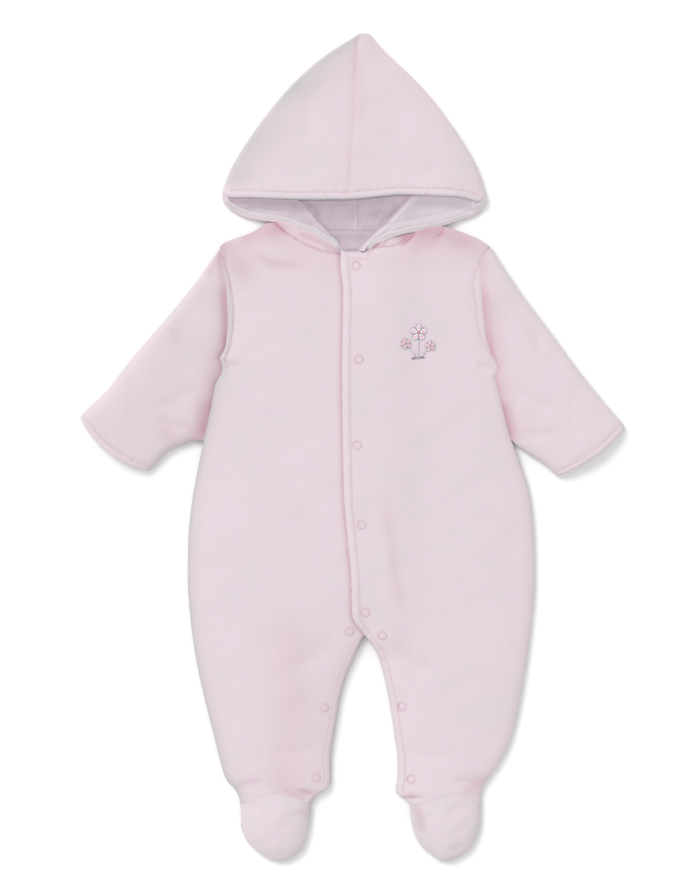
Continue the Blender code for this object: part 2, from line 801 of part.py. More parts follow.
def build_foot(side, material):
    """Foot top over sole, rounded together at the toe."""
    x, heights = foot_columns(side, FRONT_SHARES if side == "right" else mirrored(FRONT_SHARES))
    places = bent(x, heights, vamp(x, side) - SEAM_GAP, heights[-1], FOOT_BEND)
    wall = rounded_wall(edge_distance(places, outline(places)), WALL)
    solid(f"foot_top_{side}", lifted(places, FRONT_FLOOR + wall), lifted(places, FRONT_FLOOR), material)
    x, heights = foot_columns(side, SOLE_SHARES)
    places = bent(x, heights, ANKLE - SEAM_GAP, heights[-1], FOOT_BEND)
    wall = rounded_wall(edge_distance(places, outline(places)), WALL)
    solid(f"sole_{side}", lifted(places, WALL), lifted(places, WALL - wall), material)


def build_snaps(material):
    """Open-ring snaps, each a small round ring lying on its front."""
    turn = np.linspace(0, 2 * np.pi, SNAP_SEGMENTS + 1)[:, None]
    roll = np.linspace(0, 2 * np.pi, SNAP_TUBE_SEGMENTS + 1)[None] + np.pi / 4
    for number, snap in enumerate(SNAPS, start=1):
        side = "left" if snap.x > along(PLACKET, snap.y) else "right"
        x = snap.x + (SNAP_RING + SNAP_TUBE * np.cos(roll)) * np.cos(turn)
        y = snap.y + (SNAP_RING + SNAP_TUBE * np.cos(roll)) * np.sin(turn)
        rest = np.max(front_surface(x, y, side))
        z = rest + SEAM_GAP + SNAP_TUBE * (1 + np.sin(roll) + 0 * turn)
        ring(f"snap_{number:02d}", np.stack([x, y, z], axis=-1), material)


def ring(name, points, material):
    """A closed ring from a grid that goes round both ways."""
    turns, rolls = points.shape[0] - 1, points.shape[1] - 1
    corner = np.arange(turns * rolls).reshape(turns, rolls)
    beside, beyond = np.roll(corner, -1, axis=1), np.roll(corner, -1, axis=0)
    faces = np.stack([corner, beyond, np.roll(beyond, -1, axis=1), beside], axis=-1).reshape(-1, 4)
    mesh = bpy.data.meshes.new(name)
    mesh.from_pydata((points[:-1, :-1].reshape(-1, 3) * MM).tolist(), [], faces.tolist())
    mesh.shade_smooth()
    mesh.materials.append(material)
    piece = bpy.data.objects.new(name, mesh)
    bpy.context.scene.collection.objects.link(piece)


def build_posy(material):
    """Low pad of the stitched posy: a five-lobed rosette, moved out from the left front."""
    turn = np.linspace(0, 2 * np.pi, POSY_SEGMENTS + 1)[:, None]
    reach = POSY_RADIUS * np.array(POSY_SHARES) * (1 + POSY_LOBE_DEPTH * np.cos(POSY_LOBES * turn))
    x = POSY_CENTRE[0] + reach * np.sin(turn)
    y = POSY_CENTRE[1] + reach * np.cos(turn)
    base = front_surface(x, y, "left") + SEAM_GAP
    places = np.stack([x, y], axis=-1)
    return solid("embroidery", lifted(places, base + POSY_HEIGHT), lifted(places, base), material)


def main():
    """Builds every piece."""
    clear_scene()
    velour = cloth_material("velour", (0.78, 0.66, 0.71))
    jersey = cloth_material("jersey", (0.72, 0.66, 0.71), sheen=0.1)
    enamel = cloth_material("enamel", (0.85, 0.76, 0.80), roughness=0.3, sheen=0.0)
    thread = cloth_material("thread", (0.86, 0.20, 0.36), roughness=0.6, sheen=0.0)
    build_back(velour)
    for side in ("right", "left"):
        build_front(side, velour)
        build_sleeve(side, velour)
        build_hood(side, velour, jersey)
        build_foot(side, velour)
    build_back_lining(jersey)
    build_snaps(enamel)
    build_posy(thread)


main()
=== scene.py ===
"""Baby's hooded velour bunting suit, laid flat with its front up: its looks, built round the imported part.

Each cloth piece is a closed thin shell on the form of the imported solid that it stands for. The frame is the
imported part's: +Z up from the surface, +Y towards the hood's peak and +X to the wearer's left. Tables and
shape functions work in millimetres, and a mesh is turned to metres as it is made.
"""

import json
import logging
import math
from collections.abc import Callable
from dataclasses import dataclass, field
from enum import Enum
from functools import partial
from typing import ClassVar

import bpy
import numpy as np
from bpy.types import Material, Node, NodeSocket, NodeTree, Object
from numpy.typing import NDArray
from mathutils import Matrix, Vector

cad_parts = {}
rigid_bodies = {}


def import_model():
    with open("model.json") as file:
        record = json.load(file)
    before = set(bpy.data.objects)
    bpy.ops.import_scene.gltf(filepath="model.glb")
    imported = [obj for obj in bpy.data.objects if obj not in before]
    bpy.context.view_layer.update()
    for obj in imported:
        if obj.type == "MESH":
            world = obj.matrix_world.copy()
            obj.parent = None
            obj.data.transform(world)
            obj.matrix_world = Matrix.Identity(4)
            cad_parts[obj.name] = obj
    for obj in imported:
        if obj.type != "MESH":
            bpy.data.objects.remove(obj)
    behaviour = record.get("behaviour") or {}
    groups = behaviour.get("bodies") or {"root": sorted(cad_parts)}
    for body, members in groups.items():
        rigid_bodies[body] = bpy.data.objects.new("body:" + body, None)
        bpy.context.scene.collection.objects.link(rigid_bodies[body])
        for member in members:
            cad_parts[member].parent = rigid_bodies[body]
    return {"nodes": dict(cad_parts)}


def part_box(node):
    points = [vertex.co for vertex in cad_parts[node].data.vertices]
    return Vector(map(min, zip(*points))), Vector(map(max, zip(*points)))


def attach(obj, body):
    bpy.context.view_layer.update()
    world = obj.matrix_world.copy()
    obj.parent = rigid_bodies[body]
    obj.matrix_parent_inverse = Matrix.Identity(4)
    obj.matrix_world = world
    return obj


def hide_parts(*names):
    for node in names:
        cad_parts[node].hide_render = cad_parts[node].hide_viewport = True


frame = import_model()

Grid = NDArray[np.float64]
Rows = tuple[tuple[float, float], ...]

MM = 0.001
FAR = 99.0  # mm, further than any edge's shape reaches
# Distances in from an edge, in mm, of the places beside it.
EDGE_STEPS = np.array([0, 0.2, 0.5, 0.9, 1.4, 2.0, 2.7, 3.5, 4.3, 5.1, 5.8, 6.4, 7.0, 7.6, 8.4, 9.4, 10.6])

log = logging.getLogger("bunting_suit")


# ---- shape functions


def smooth(t: Grid) -> Grid:
    """0 below 0, 1 above 1, and an S between them: 3t squared less 2t cubed."""
    t = np.clip(t, 0.0, 1.0)
    return t * t * (3 - 2 * t)


def bell(distance: Grid, width: float | Grid) -> Grid:
    """A soft bump 1 high: e to the power of minus the square of distance over width."""
    return np.exp(-((distance / width) ** 2))


def quarter(distance: Grid, radius: float | Grid) -> Grid:
    """A quarter circle's height, from 0 at the edge to 1 at the radius and beyond it."""
    t = 1 - np.clip(distance / radius, 0, 1)
    return np.sqrt(np.maximum(1 - t * t, 0))


def filled(distance: Grid, reach: float) -> Grid:
    """How full cloth stands at a distance in from a closed edge: 1 less e to minus distance over reach."""
    return 1 - np.exp(-np.maximum(distance, 0) / reach)


def waves(x: Grid, y: Grid, length: float, seed: int, count: int = 9) -> Grid:
    """Soft uneven relief about 1 high: plane waves near one length, in seeded directions, summed.

    Args:
        x, y: The points.
        length: The usual length of a wave.
        seed: Seed of their directions, lengths and phases.
        count: How many are summed.

    Returns:
        The relief.
    """
    random = np.random.default_rng(seed)
    angle = random.uniform(0, 2 * np.pi, count)
    turn = 2 * np.pi / (length * random.uniform(0.7, 1.5, count))
    phase = random.uniform(0, 2 * np.pi, count)
    ahead = x[..., None] * np.cos(angle) + y[..., None] * np.sin(angle)
    return np.cos(turn * ahead + phase).sum(-1) / math.sqrt(2 * count)


@dataclass(frozen=True)
class Curve:
    """A smooth curve through (station, value) rows that never swings past them, a monotone cubic."""

    rows: Rows

    def at(self, place: Grid | float) -> Grid:
        """The curve's value at each place, held level beyond its ends.

        Args:
            place: Where along the stations.

        Returns:
            The values there.
        """
        station, value = (np.array(column, float) for column in zip(*sorted(self.rows)))
        run = np.diff(station)
        rise = np.diff(value) / run
        same = rise[:-1] * rise[1:] > 0
        total = np.where(same, rise[:-1] + rise[1:], 1.0)
        slope = np.concatenate([rise[:1], np.where(same, 2 * rise[:-1] * rise[1:] / total, 0.0), rise[-1:]])
        place = np.clip(np.asarray(place, float), station[0], station[-1])
        cell = np.clip(np.searchsorted(station, place, side="right") - 1, 0, len(run) - 1)
        t = (place - station[cell]) / run[cell]
        blend = value[cell] * (1 + 2 * t) * (1 - t) ** 2 + value[cell + 1] * t**2 * (3 - 2 * t)
        return blend + run[cell] * (slope[cell] * t * (1 - t) ** 2 - slope[cell + 1] * t**2 * (1 - t))


@dataclass(frozen=True)
class Line:
    """A smooth open line through a few points, such as a seam, a rim or a crease."""

    points: Rows
    step: float = 3.0

    def places(self, step: float | None = None) -> Grid:
        """Points along the line at even steps, each stretch a cubic through its four nearest points.

        Args:
            step: The spacing, if not the line's own.

        Returns:
            The points, count by two.
        """
        knot = np.array(self.points, float)
        padded = np.concatenate([2 * knot[:1] - knot[1:2], knot, 2 * knot[-1:] - knot[-2:-1]])
        t = np.linspace(0, 1, 9)[:-1, None, None]
        a, b, c, d = (padded[i : len(padded) - 3 + i] for i in range(4))
        bend = (2 * a - 5 * b + 4 * c - d) * t**2 + (3 * b - a - 3 * c + d) * t**3
        fine = 0.5 * (2 * b + (c - a) * t + bend)
        fine = np.concatenate([fine.transpose(1, 0, 2).reshape(-1, 2), knot[-1:]])
        length = np.concatenate([[0], np.cumsum(np.hypot(*np.diff(fine, axis=0).T))])
        even = np.linspace(0, length[-1], max(2, round(length[-1] / (step or self.step)) + 1))
        return np.stack([np.interp(even, length, fine[:, i]) for i in (0, 1)], axis=-1)

    def reach(self, x: Grid, y: Grid, within: float = 45.0) -> tuple[Grid, Grid, Grid]:
        """Where points lie from the line.

        Args:
            x: The points' X.
            y: The points' Y.
            within: How far from the line's box points are measured. The rest count as very far.

        Returns:
            Distance, share of the way along, and whether the point is on the line's left.
        """
        ends = self.places()
        low, high = ends.min(0) - within, ends.max(0) + within
        near = (x > low[0]) & (x < high[0]) & (y > low[1]) & (y < high[1])
        distance, share, left = np.full(x.shape, 10 * FAR), np.zeros(x.shape), np.zeros(x.shape, bool)
        step = np.diff(ends, axis=0)
        away = np.stack([x[near], y[near]], axis=-1)[:, None] - ends[:-1]
        t = np.clip((away * step).sum(-1) / (step**2).sum(-1), 0, 1)
        gap = ((away - t[..., None] * step) ** 2).sum(-1)
        best = gap.argmin(1)
        row = np.arange(len(best))
        distance[near] = np.sqrt(gap[row, best])
        share[near] = (best + t[row, best]) / len(step)
        left[near] = step[best, 0] * away[row, best, 1] > step[best, 1] * away[row, best, 0]
        return distance, share, left


@dataclass
class Reading:
    """What the details of a face add at its points: height, painted shade, and painted sheen that is grey
    shade below 0.
    """

    height: Grid
    flush: Grid
    sheen_shade_and_dye: Grid


@dataclass(frozen=True)
class Crease:
    """A soft trough, or a ridge where its depth is below 0, that fades at both ends, with shade painted along
    it.
    """

    points: Rows
    depth: float
    width: float
    flush: float = 0.0
    lean: float = 1.0
    fade: float = 0.3

    def add(self, x: Grid, y: Grid, to: Reading) -> None:
        """Lowers the face by depth times a bell across the line, wider on the left bank by lean, and paints
        shade along it.

        Args:
            x, y: The points.
            to: The reading that it adds to.
        """
        distance, share, left = Line(self.points).reach(x, y)
        width = np.where(left, self.width * self.lean, self.width)
        end = smooth(np.minimum(share, 1 - share) / self.fade)
        to.height -= self.depth * bell(distance, width) * end
        # Painted shade in the trough, narrower than the trough itself.
        to.flush += self.flush * bell(distance, 0.6 * width) * end


@dataclass(frozen=True)
class Seam:
    """A stitched line: a narrow groove in a shallow broad sink, with puckers beside it and shade painted
    along it.
    """

    points: Rows
    groove: float = 0.4
    sink: float = 0.35
    pucker: float = 0.25
    flush: float = 0.16
    seed: int = 3

    def add(self, x: Grid, y: Grid, to: Reading) -> None:
        """Lowers the face by two bells, adds short waves that die out beside the line, and paints shade along
        the groove.

        Args:
            x, y: The points.
            to: The reading that it adds to.
        """
        distance, _, _ = Line(self.points).reach(x, y)
        crimp = self.pucker * waves(x, y, 8.0, self.seed) * np.exp(-distance / 6)
        to.height += crimp - self.groove * bell(distance, 0.9) - self.sink * bell(distance, 4.0)
        # Painted shade along the groove.
        to.flush += self.flush * bell(distance, 0.9)


@dataclass(frozen=True)
class Tint:
    """A soft band of painted shade, and of painted sheen that is grey shade below 0, along a line, uneven
    along it.
    """

    points: Rows
    width: float
    flush: float = 0.0
    sheen_shade_and_dye: float = 0.0
    seed: int = 11

    def add(self, x: Grid, y: Grid, to: Reading) -> None:
        """Adds a bell across the line times slow waves between about 0.5 and 1.3.

        Args:
            x, y: The points.
            to: The reading that it adds to.
        """
        distance, _, _ = Line(self.points).reach(x, y, within=3 * self.width)
        band = bell(distance, self.width) * (0.9 + 0.3 * waves(x, y, 45.0, self.seed))
        # Painted shade, then painted sheen above 0 and painted grey shade below it.
        to.flush += self.flush * band
        to.sheen_shade_and_dye += self.sheen_shade_and_dye * band


@dataclass(frozen=True)
class Press:
    """The hollow that a snap presses into padded cloth, with the cloth that domes up inside its ring."""

    x: float
    y: float
    depth: float = 0.4
    width: float = 8.0
    ring: float = 3.1
    dome: float = 0.35

    def add(self, x: Grid, y: Grid, to: Reading) -> None:
        """Lowers a round hollow, raises a round cap inside the ring and paints shade just outside it.

        Args:
            x, y: The points.
            to: The reading that it adds to.
        """
        distance = np.hypot(x - self.x, y - self.y)
        cap = self.dome * quarter(self.ring - distance, self.ring)
        to.height += cap - self.depth * bell(distance, self.width)
        # Painted shade in a thin ring just outside the snap's ring.
        to.flush += 0.12 * bell(distance - self.ring - 0.5, 1.0)


Detail = Crease | Seam | Tint | Press


def read(details: tuple[Detail, ...], x: Grid, y: Grid) -> Reading:
    """Sums what each detail adds at these points.

    Args:
        details: Creases, seams, tints and presses.
        x, y: The points.

    Returns:
        Their sum.
    """
    total = Reading(np.zeros(x.shape), np.zeros(x.shape), np.zeros(x.shape))
    for detail in details:
        detail.add(x, y, total)
    return total


def across(start: Grid, end: Grid, middle: int) -> Grid:
    """Places across each row from start to end: close together near both edges, even between them.

    Args:
        start: X of each row's start.
        end: X of each row's end.
        middle: How many places lie between those beside the edges.

    Returns:
        X, rows by columns.
    """
    width = np.abs(end - start)[:, None]
    edge = np.minimum(EDGE_STEPS, width * np.linspace(0, 0.4, len(EDGE_STEPS)))
    inside = edge[:, -1:] + (width - 2 * edge[:, -1:]) * np.linspace(0, 1, middle + 2)[1:-1]
    reach = np.concatenate([edge, inside, width - edge[:, ::-1]], axis=1)
    return start[:, None] + (end - start)[:, None] * reach / width


def down(high: float, low: float, step: float) -> Grid:
    """Heights from high to low: close together at both ends, and about a step apart between them.

    Args:
        high: The first height.
        low: The last height.
        step: The spacing between the ends.

    Returns:
        The heights.
    """
    first, last = high - EDGE_STEPS, low + EDGE_STEPS[::-1]
    count = max(2, round((first[-1] - last[0]) / step))
    return np.concatenate([first, np.linspace(first[-1], last[0], count + 1)[1:-1], last])


def bent(
    x: Grid, heights: Grid, top: Grid | None = None, bottom: Grid | None = None, blend: float = 60.0
) -> Grid:
    """Y of each place: its row's height, turning to follow the top and bottom edges over blend.

    Args:
        x: X of the places, rows by columns.
        heights: Each row's height.
        top: Y of the top edge at each place, if it is followed.
        bottom: Y of the bottom edge, the same.
        blend: How far in an edge's shape carries.

    Returns:
        Y of each place.
    """
    y = np.repeat(heights[:, None], x.shape[1], axis=1)
    if top is not None:
        y = y + smooth(1 - (heights[0] - heights) / blend)[:, None] * (top - heights[0])
    if bottom is not None:
        y = y + smooth(1 - (heights - heights[-1]) / blend)[:, None] * (bottom - heights[-1])
    return y


# ---- meshes


class Side(Enum):
    """The wearer's right, at negative X, or left."""

    RIGHT = "right"
    LEFT = "left"

    @property
    def away(self) -> int:
        """The way along X out from the middle."""
        return -1 if self is Side.RIGHT else 1


@dataclass(frozen=True)
class Cut:
    """What a cloth piece was cut to: width and length in mm, flat area in m2, and what it lies on."""

    width: float
    length: float
    area: float
    rests_on: tuple[str, ...] = ()


def shown(name: str, data: bpy.types.ID) -> Object:
    """Puts a mesh, light or camera into the scene.

    Args:
        name: The new object's name.
        data: What it shows.

    Returns:
        The object.
    """
    made = bpy.data.objects.new(name, data)
    bpy.context.scene.collection.objects.link(made)
    return made


class Piece:
    """One piece of the suit being made: closed shells gathered into one mesh, with their paint."""

    def __init__(self, name: str) -> None:
        """Starts an empty piece.

        Args:
            name: What the piece is called.
        """
        self.name = name
        self.points: list[Grid] = []
        self.faces: list[NDArray[np.int64]] = []
        self.paint: list[Grid] = []
        self.count = 0

    def add(self, points: Grid, faces: list[NDArray[np.int64]], paint: Grid) -> None:
        """Adds one closed body, turned to face outwards by the sign of its volume.

        Args:
            points: The body's points, count by three.
            faces: Its faces, one array for each number of corners.
            paint: Painted shade at each point, then painted sheen and grey shade, which on thread is its dye.
        """
        volume = 0.0
        for face in faces:
            for i in range(1, face.shape[1] - 1):
                volume += np.linalg.det(points[face[:, [0, i, i + 1]]] / 100).sum()
        turn = -1 if volume < 0 else 1
        self.faces += [face[:, ::turn] + self.count for face in faces]
        self.points.append(points)
        self.paint.append(paint)
        self.count += len(points)

    def shell(
        self,
        over: Grid,
        under: Grid,
        flush: Grid,
        sheen_shade_and_dye: Grid,
        keep: NDArray[np.bool_] | None = None,
        ring: bool = False,
    ) -> None:
        """Adds a closed shell between two grids of points.

        Args:
            over: The outer face, rows by columns by three.
            under: The inner face, the same size.
            flush: Shade painted at each point of the outer face.
            sheen_shade_and_dye: Sheen painted at each point of the outer face, grey shade where it is below
                0.
            keep: The cells to make, or all of them.
            ring: Whether the last column joins the first.
        """
        rows, columns = over.shape[:2]
        index = np.arange(rows * columns).reshape(rows, columns)
        if ring:
            index = np.concatenate([index, index[:, :1]], axis=1)
        cells = np.ones((rows - 1, index.shape[1] - 1), bool) if keep is None else keep
        quads = np.stack([index[:-1, :-1], index[1:, :-1], index[1:, 1:], index[:-1, 1:]], axis=-1)[cells]
        level = np.pad(cells, ((1, 1), (0, 0))).astype(int)
        before, after = (cells[:, -1:], cells[:, :1]) if ring else (np.zeros((rows - 1, 1), bool),) * 2
        upright = np.concatenate([before, cells, after], axis=1).astype(int)
        sides = []
        change = np.diff(level, axis=0)
        sides.append(np.stack([index[:, 1:], index[:, :-1]], axis=-1)[change == 1])
        sides.append(np.stack([index[:, :-1], index[:, 1:]], axis=-1)[change == -1])
        change = np.diff(upright, axis=1)
        change = change[:, :-1] if ring else change
        columns_at = index[:, :-1] if ring else index
        sides.append(np.stack([columns_at[:-1], columns_at[1:]], axis=-1)[change == 1])
        sides.append(np.stack([columns_at[1:], columns_at[:-1]], axis=-1)[change == -1])
        side = np.concatenate(sides)
        size = rows * columns
        wall = np.stack([side[:, 1], side[:, 0], side[:, 0] + size, side[:, 1] + size], axis=-1)
        faces = np.concatenate([quads, quads[:, ::-1] + size, wall])
        points = np.concatenate([over.reshape(-1, 3), under.reshape(-1, 3)])
        paint = np.stack([flush, sheen_shade_and_dye], axis=-1).reshape(-1, 2)
        used, faces = np.unique(faces, return_inverse=True)
        self.add(points[used], [faces.reshape(-1, 4)], np.concatenate([paint, paint])[used])

    def make(self, material: Material, slot: str, *nodes: str, cut: Cut | None = None) -> Object:
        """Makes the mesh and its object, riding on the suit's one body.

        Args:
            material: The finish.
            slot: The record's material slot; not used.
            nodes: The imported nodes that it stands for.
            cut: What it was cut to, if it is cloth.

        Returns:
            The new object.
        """
        points, paint = np.concatenate(self.points) * MM, np.concatenate(self.paint)
        loops = np.concatenate([face.reshape(-1) for face in self.faces])
        sizes = np.concatenate([np.full(len(face), face.shape[1]) for face in self.faces])
        mesh = bpy.data.meshes.new(self.name)
        mesh.vertices.add(len(points))
        mesh.vertices.foreach_set("co", points.astype(np.float32).ravel())
        mesh.loops.add(len(loops))
        mesh.loops.foreach_set("vertex_index", loops.astype(np.int32))
        mesh.polygons.add(len(sizes))
        mesh.polygons.foreach_set("loop_start", (np.cumsum(sizes) - sizes).astype(np.int32))
        mesh.update(calc_edges=True)
        mesh.shade_smooth()
        mesh.set_sharp_from_angle(angle=math.radians(58))
        # Two painted channels: shade, then sheen and grey shade, which on thread picks its dye.
        for i, label in enumerate(("flush", "sheen_shade_and_dye")):
            layer = mesh.attributes.new(label, "FLOAT", "POINT")
            layer.data.foreach_set("value", np.clip(paint[:, i], -1, 1).astype(np.float32))
        mesh.materials.append(material)
        made = shown(self.name, mesh)
        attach(made, "root")
        if nodes:
            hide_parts(*nodes)
        if cut:
            list(cut.rests_on)
        return made


class Threads:
    """Short lengths of sewing thread, each a small capsule that arches a little over the cloth."""

    PITCH = 2.7
    COVER = 0.62
    RADIUS = 0.28
    ARCH = 0.22
    SIDES = 5
    STATIONS = np.array([0.0, 0.14, 0.5, 0.86, 1.0])
    FULLNESS = np.array([0.0, 0.85, 1.0, 0.85, 0.0])

    def __init__(self, name: str) -> None:
        """Starts with no thread."""
        self.piece = Piece(name)

    def add(self, start: Grid, end: Grid, radius: float, arch: float, dye: float) -> None:
        """Adds a capsule from each start to each end: rings round the line, lifted by arch times a half sine.

        Args:
            start: First ends, count by three.
            end: Second ends.
            radius: Half the thread's thickness.
            arch: How far its middle rises.
            dye: Its colour, kept in the paint's second channel.
        """
        along = end - start
        sideways = np.stack([-along[:, 1], along[:, 0], 0 * along[:, 0]], axis=-1)
        sideways /= np.maximum(np.linalg.norm(sideways, axis=1, keepdims=True), 1e-9)
        t = self.STATIONS[:, None]
        middle = start[:, None] + along[:, None] * t
        middle[..., 2] += arch * np.sin(np.pi * self.STATIONS)
        turn = np.arange(self.SIDES) * 2 * np.pi / self.SIDES
        reach = radius * self.FULLNESS[1:-1]
        ring = middle[:, 1:-1, None] + reach[:, None, None] * (
            np.cos(turn)[:, None] * sideways[:, None, None] + np.sin(turn)[:, None] * np.array([0, 0, 1.0])
        )
        count, rings = len(start), len(reach)
        points = np.concatenate([middle[:, :1], ring.reshape(count, -1, 3), middle[:, -1:]], axis=1)
        here = np.arange(self.SIDES)
        beside = (here + 1) % self.SIDES
        last = 1 + rings * self.SIDES
        body = [
            np.stack([k + here, k + beside, k + self.SIDES + beside, k + self.SIDES + here], axis=-1)
            for k in range(1, last - self.SIDES, self.SIDES)
        ]
        caps = np.concatenate(
            [
                np.stack([0 * here, 1 + beside, 1 + here], axis=-1),
                np.stack([last + 0 * here, last - self.SIDES + here, last - self.SIDES + beside], axis=-1),
            ]
        )
        offset = np.arange(count)[:, None, None] * (last + 1)
        faces = [(np.concatenate(body)[None] + offset).reshape(-1, 4), (caps[None] + offset).reshape(-1, 3)]
        paint = np.zeros((count * (last + 1), 2))
        paint[:, 1] = dye
        self.piece.add(points.reshape(-1, 3), faces, paint)

    def topstitch(self, places: Grid, height: Grid) -> None:
        """Adds a row of stitches, from every second place to the next, made longer to cover their share.

        Args:
            places: Places along the stitched line, half a pitch apart.
            height: The cloth's height at each place.
        """
        lifted = np.concatenate([places, height[:, None]], axis=-1)
        start, end = lifted[:-1:2], lifted[1::2]
        count = min(len(start), len(end))
        start, end = start[:count], end[:count]
        grow = (self.COVER / 0.5 - 1) / 2
        self.add(start - (end - start) * grow, end + (end - start) * grow, self.RADIUS, self.ARCH, 0.0)

    def follow(self, path: Grid, every: int, axis: int, rise: float) -> None:
        """Topstitches along points on the cloth, at heights read between them.

        Args:
            path: The points, count by three.
            every: How many points apart the smooth line takes them.
            axis: The axis along which the path runs on, 0 for X and 1 for Y.
            rise: How far over the points the thread lies.
        """
        places = Line(tuple(map(tuple, path[::every, :2].tolist()))).places(self.PITCH / 2)
        order = np.argsort(path[:, axis])
        self.topstitch(places, np.interp(places[:, axis], path[order, axis], path[order, 2]) + rise)


# ---- finishes


def heading(angle: float) -> tuple[Grid, Grid]:
    """A step of 1 mm at an angle, and one square to it on its left: cosine and sine, and both turned."""
    return np.array([math.cos(angle), math.sin(angle)]), np.array([-math.sin(angle), math.cos(angle)])


def linear(code: str) -> tuple[float, float, float, float]:
    """A six-digit sRGB hex colour as linear light.

    Args:
        code: The six digits.

    Returns:
        Red, green, blue and 1.
    """
    values = [int(code[i : i + 2], 16) / 255 for i in (0, 2, 4)]
    red, green, blue = (v / 12.92 if v <= 0.04045 else ((v + 0.055) / 1.055) ** 2.4 for v in values)
    return red, green, blue, 1.0


def wire(tree: NodeTree, made: Node, inputs: dict[str, object]) -> None:
    """Links or sets a node's inputs.

    Args:
        tree: The material's tree.
        made: The node.
        inputs: By name or number, an output socket, a node whose first output is meant, or a value.
    """
    for key, value in inputs.items():
        socket = made.inputs[int(key)] if key.isdigit() else made.inputs[key]
        if isinstance(value, Node):
            value = value.outputs[0]
        if isinstance(value, NodeSocket):
            tree.links.new(value, socket)
        else:
            socket.default_value = value


def node(tree: NodeTree, kind: str, inputs: dict[str, object] | None = None, **settings: object) -> Node:
    """Adds a shader node.

    Args:
        tree: The material's tree.
        kind: The node's type, without its first word, ShaderNode.
        inputs: What its inputs are linked or set to.
        settings: The node's own properties.

    Returns:
        The node.
    """
    made = tree.nodes.new(f"ShaderNode{kind}")
    for key, value in settings.items():
        setattr(made, key, value)
    wire(tree, made, inputs or {})
    return made


def principled(name: str) -> tuple[Material, Callable[..., Node], Callable[..., None], NodeSocket]:
    """Starts a material.

    Args:
        name: The material's name.

    Returns:
        The material, what adds a node to it, what dresses its Principled shader, and Object coordinates.
    """
    material = bpy.data.materials.new(name)
    material.use_nodes = True
    tree = material.node_tree
    place = tree.nodes.new("ShaderNodeTexCoord").outputs["Object"]
    return material, partial(node, tree), partial(wire, tree, tree.nodes["Principled BSDF"]), place


@dataclass(frozen=True)
class Velour:
    """Cotton velour: a cut pile on a knit ground, soft and matt, with sheen and shade painted into its
    colour.
    """

    name: str = "cotton_velour"
    pink: str = "D6C6CE"
    # The grey of the random mottle and of painted sheen.
    mottle_and_sheen: str = "C9C5C9"
    # The deep rose of painted shade.
    deep: str = "B58093"
    # The darker grey of painted grey shade.
    laid: str = "ABAEAE"
    mottle_mm: float = 38.0
    patch_mm: float = 14.0
    nap_mm: float = 2.4
    pile_mm: float = 1.1  # real tufts are about 0.3 mm, too fine to show
    sheen: float = 0.55
    roughness: float = 0.92

    def make(self) -> Material:
        """Makes it: pink to grey by slow noise and painted sheen, darker grey by painted grey shade and
        deeper rose by painted shade, with a fine pile.

        Returns:
            The material.
        """
        material, add, dress, place = principled(self.name)
        mottle = add("TexNoise", {"Vector": place, "Scale": 1 / (self.mottle_mm * MM), "Detail": 3.0})
        nap = add("TexNoise", {"Vector": place, "Scale": 1 / (self.nap_mm * MM), "Detail": 2.0})
        sheen_shade_and_dye = add("Attribute", attribute_name="sheen_shade_and_dye").outputs["Fac"]
        flush = add("Attribute", attribute_name="flush").outputs["Fac"]
        slow = add("MapRange", {"Value": mottle, "From Min": 0.32, "From Max": 0.68, "To Max": 0.34})
        within = {"From Min": 0.3, "From Max": 0.7}
        fine = add("MapRange", {"Value": nap, **within, "To Min": -0.13, "To Max": 0.13})
        mottle_sheen_mix = add("Math", {"0": slow, "1": fine}, operation="ADD")
        rough = {"Detail": 4.0, "Roughness": 0.6}
        patchy = add("TexNoise", {"Vector": place, "Scale": 1 / (self.patch_mm * MM), **rough})
        patchy = add("MapRange", {"Value": patchy, **within, "To Min": 0.45, "To Max": 1.3})
        # Painted sheen: the second paint channel above 0 greys the colour, broken up by the patchy noise.
        edge = add("Math", {"0": sheen_shade_and_dye, "1": patchy}, operation="MULTIPLY")
        mottle_sheen_mix = add("Math", {"0": patchy, "1": 0.3, "2": mottle_sheen_mix}, operation="MULTIPLY_ADD")
        mottle_sheen_mix = add("Math", {"0": mottle_sheen_mix, "1": 0.26}, operation="SUBTRACT")
        mottle_sheen_mix = add("Math", {"0": mottle_sheen_mix, "1": edge}, operation="ADD", use_clamp=True)
        tones = {"6": linear(self.pink), "7": linear(self.mottle_and_sheen)}
        ground = add("Mix", {"Factor": mottle_sheen_mix, **tones}, data_type="RGBA")
        # Painted grey shade: the same channel below 0 mixes in the darker grey.
        away = add("Math", {"0": sheen_shade_and_dye, "1": -1.0}, operation="MULTIPLY", use_clamp=True)
        tones = {"6": ground.outputs[2], "7": linear(self.laid)}
        ground = add("Mix", {"Factor": away, **tones}, data_type="RGBA")
        # Painted shade mixes in the deep rose.
        tones = {"6": ground.outputs[2], "7": linear(self.deep)}
        colour = add("Mix", {"Factor": flush, **tones}, data_type="RGBA")
        rough = {"Detail": 2.0, "Roughness": 0.6}
        pile = add("TexNoise", {"Vector": place, "Scale": 1 / (self.pile_mm * MM), **rough})
        both = add("Math", {"0": pile, "1": nap}, operation="ADD")
        dress({
            "Base Color": colour.outputs[2],
            "Normal": add("Bump", {"Height": both, "Strength": 0.5, "Distance": 0.35 * MM}),
            "Roughness": self.roughness,
            "Sheen Weight": self.sheen,
            "Sheen Roughness": 0.45,
            "Sheen Tint": linear("F2EDF0"),
            "Specular IOR Level": 0.15,
        })
        return material


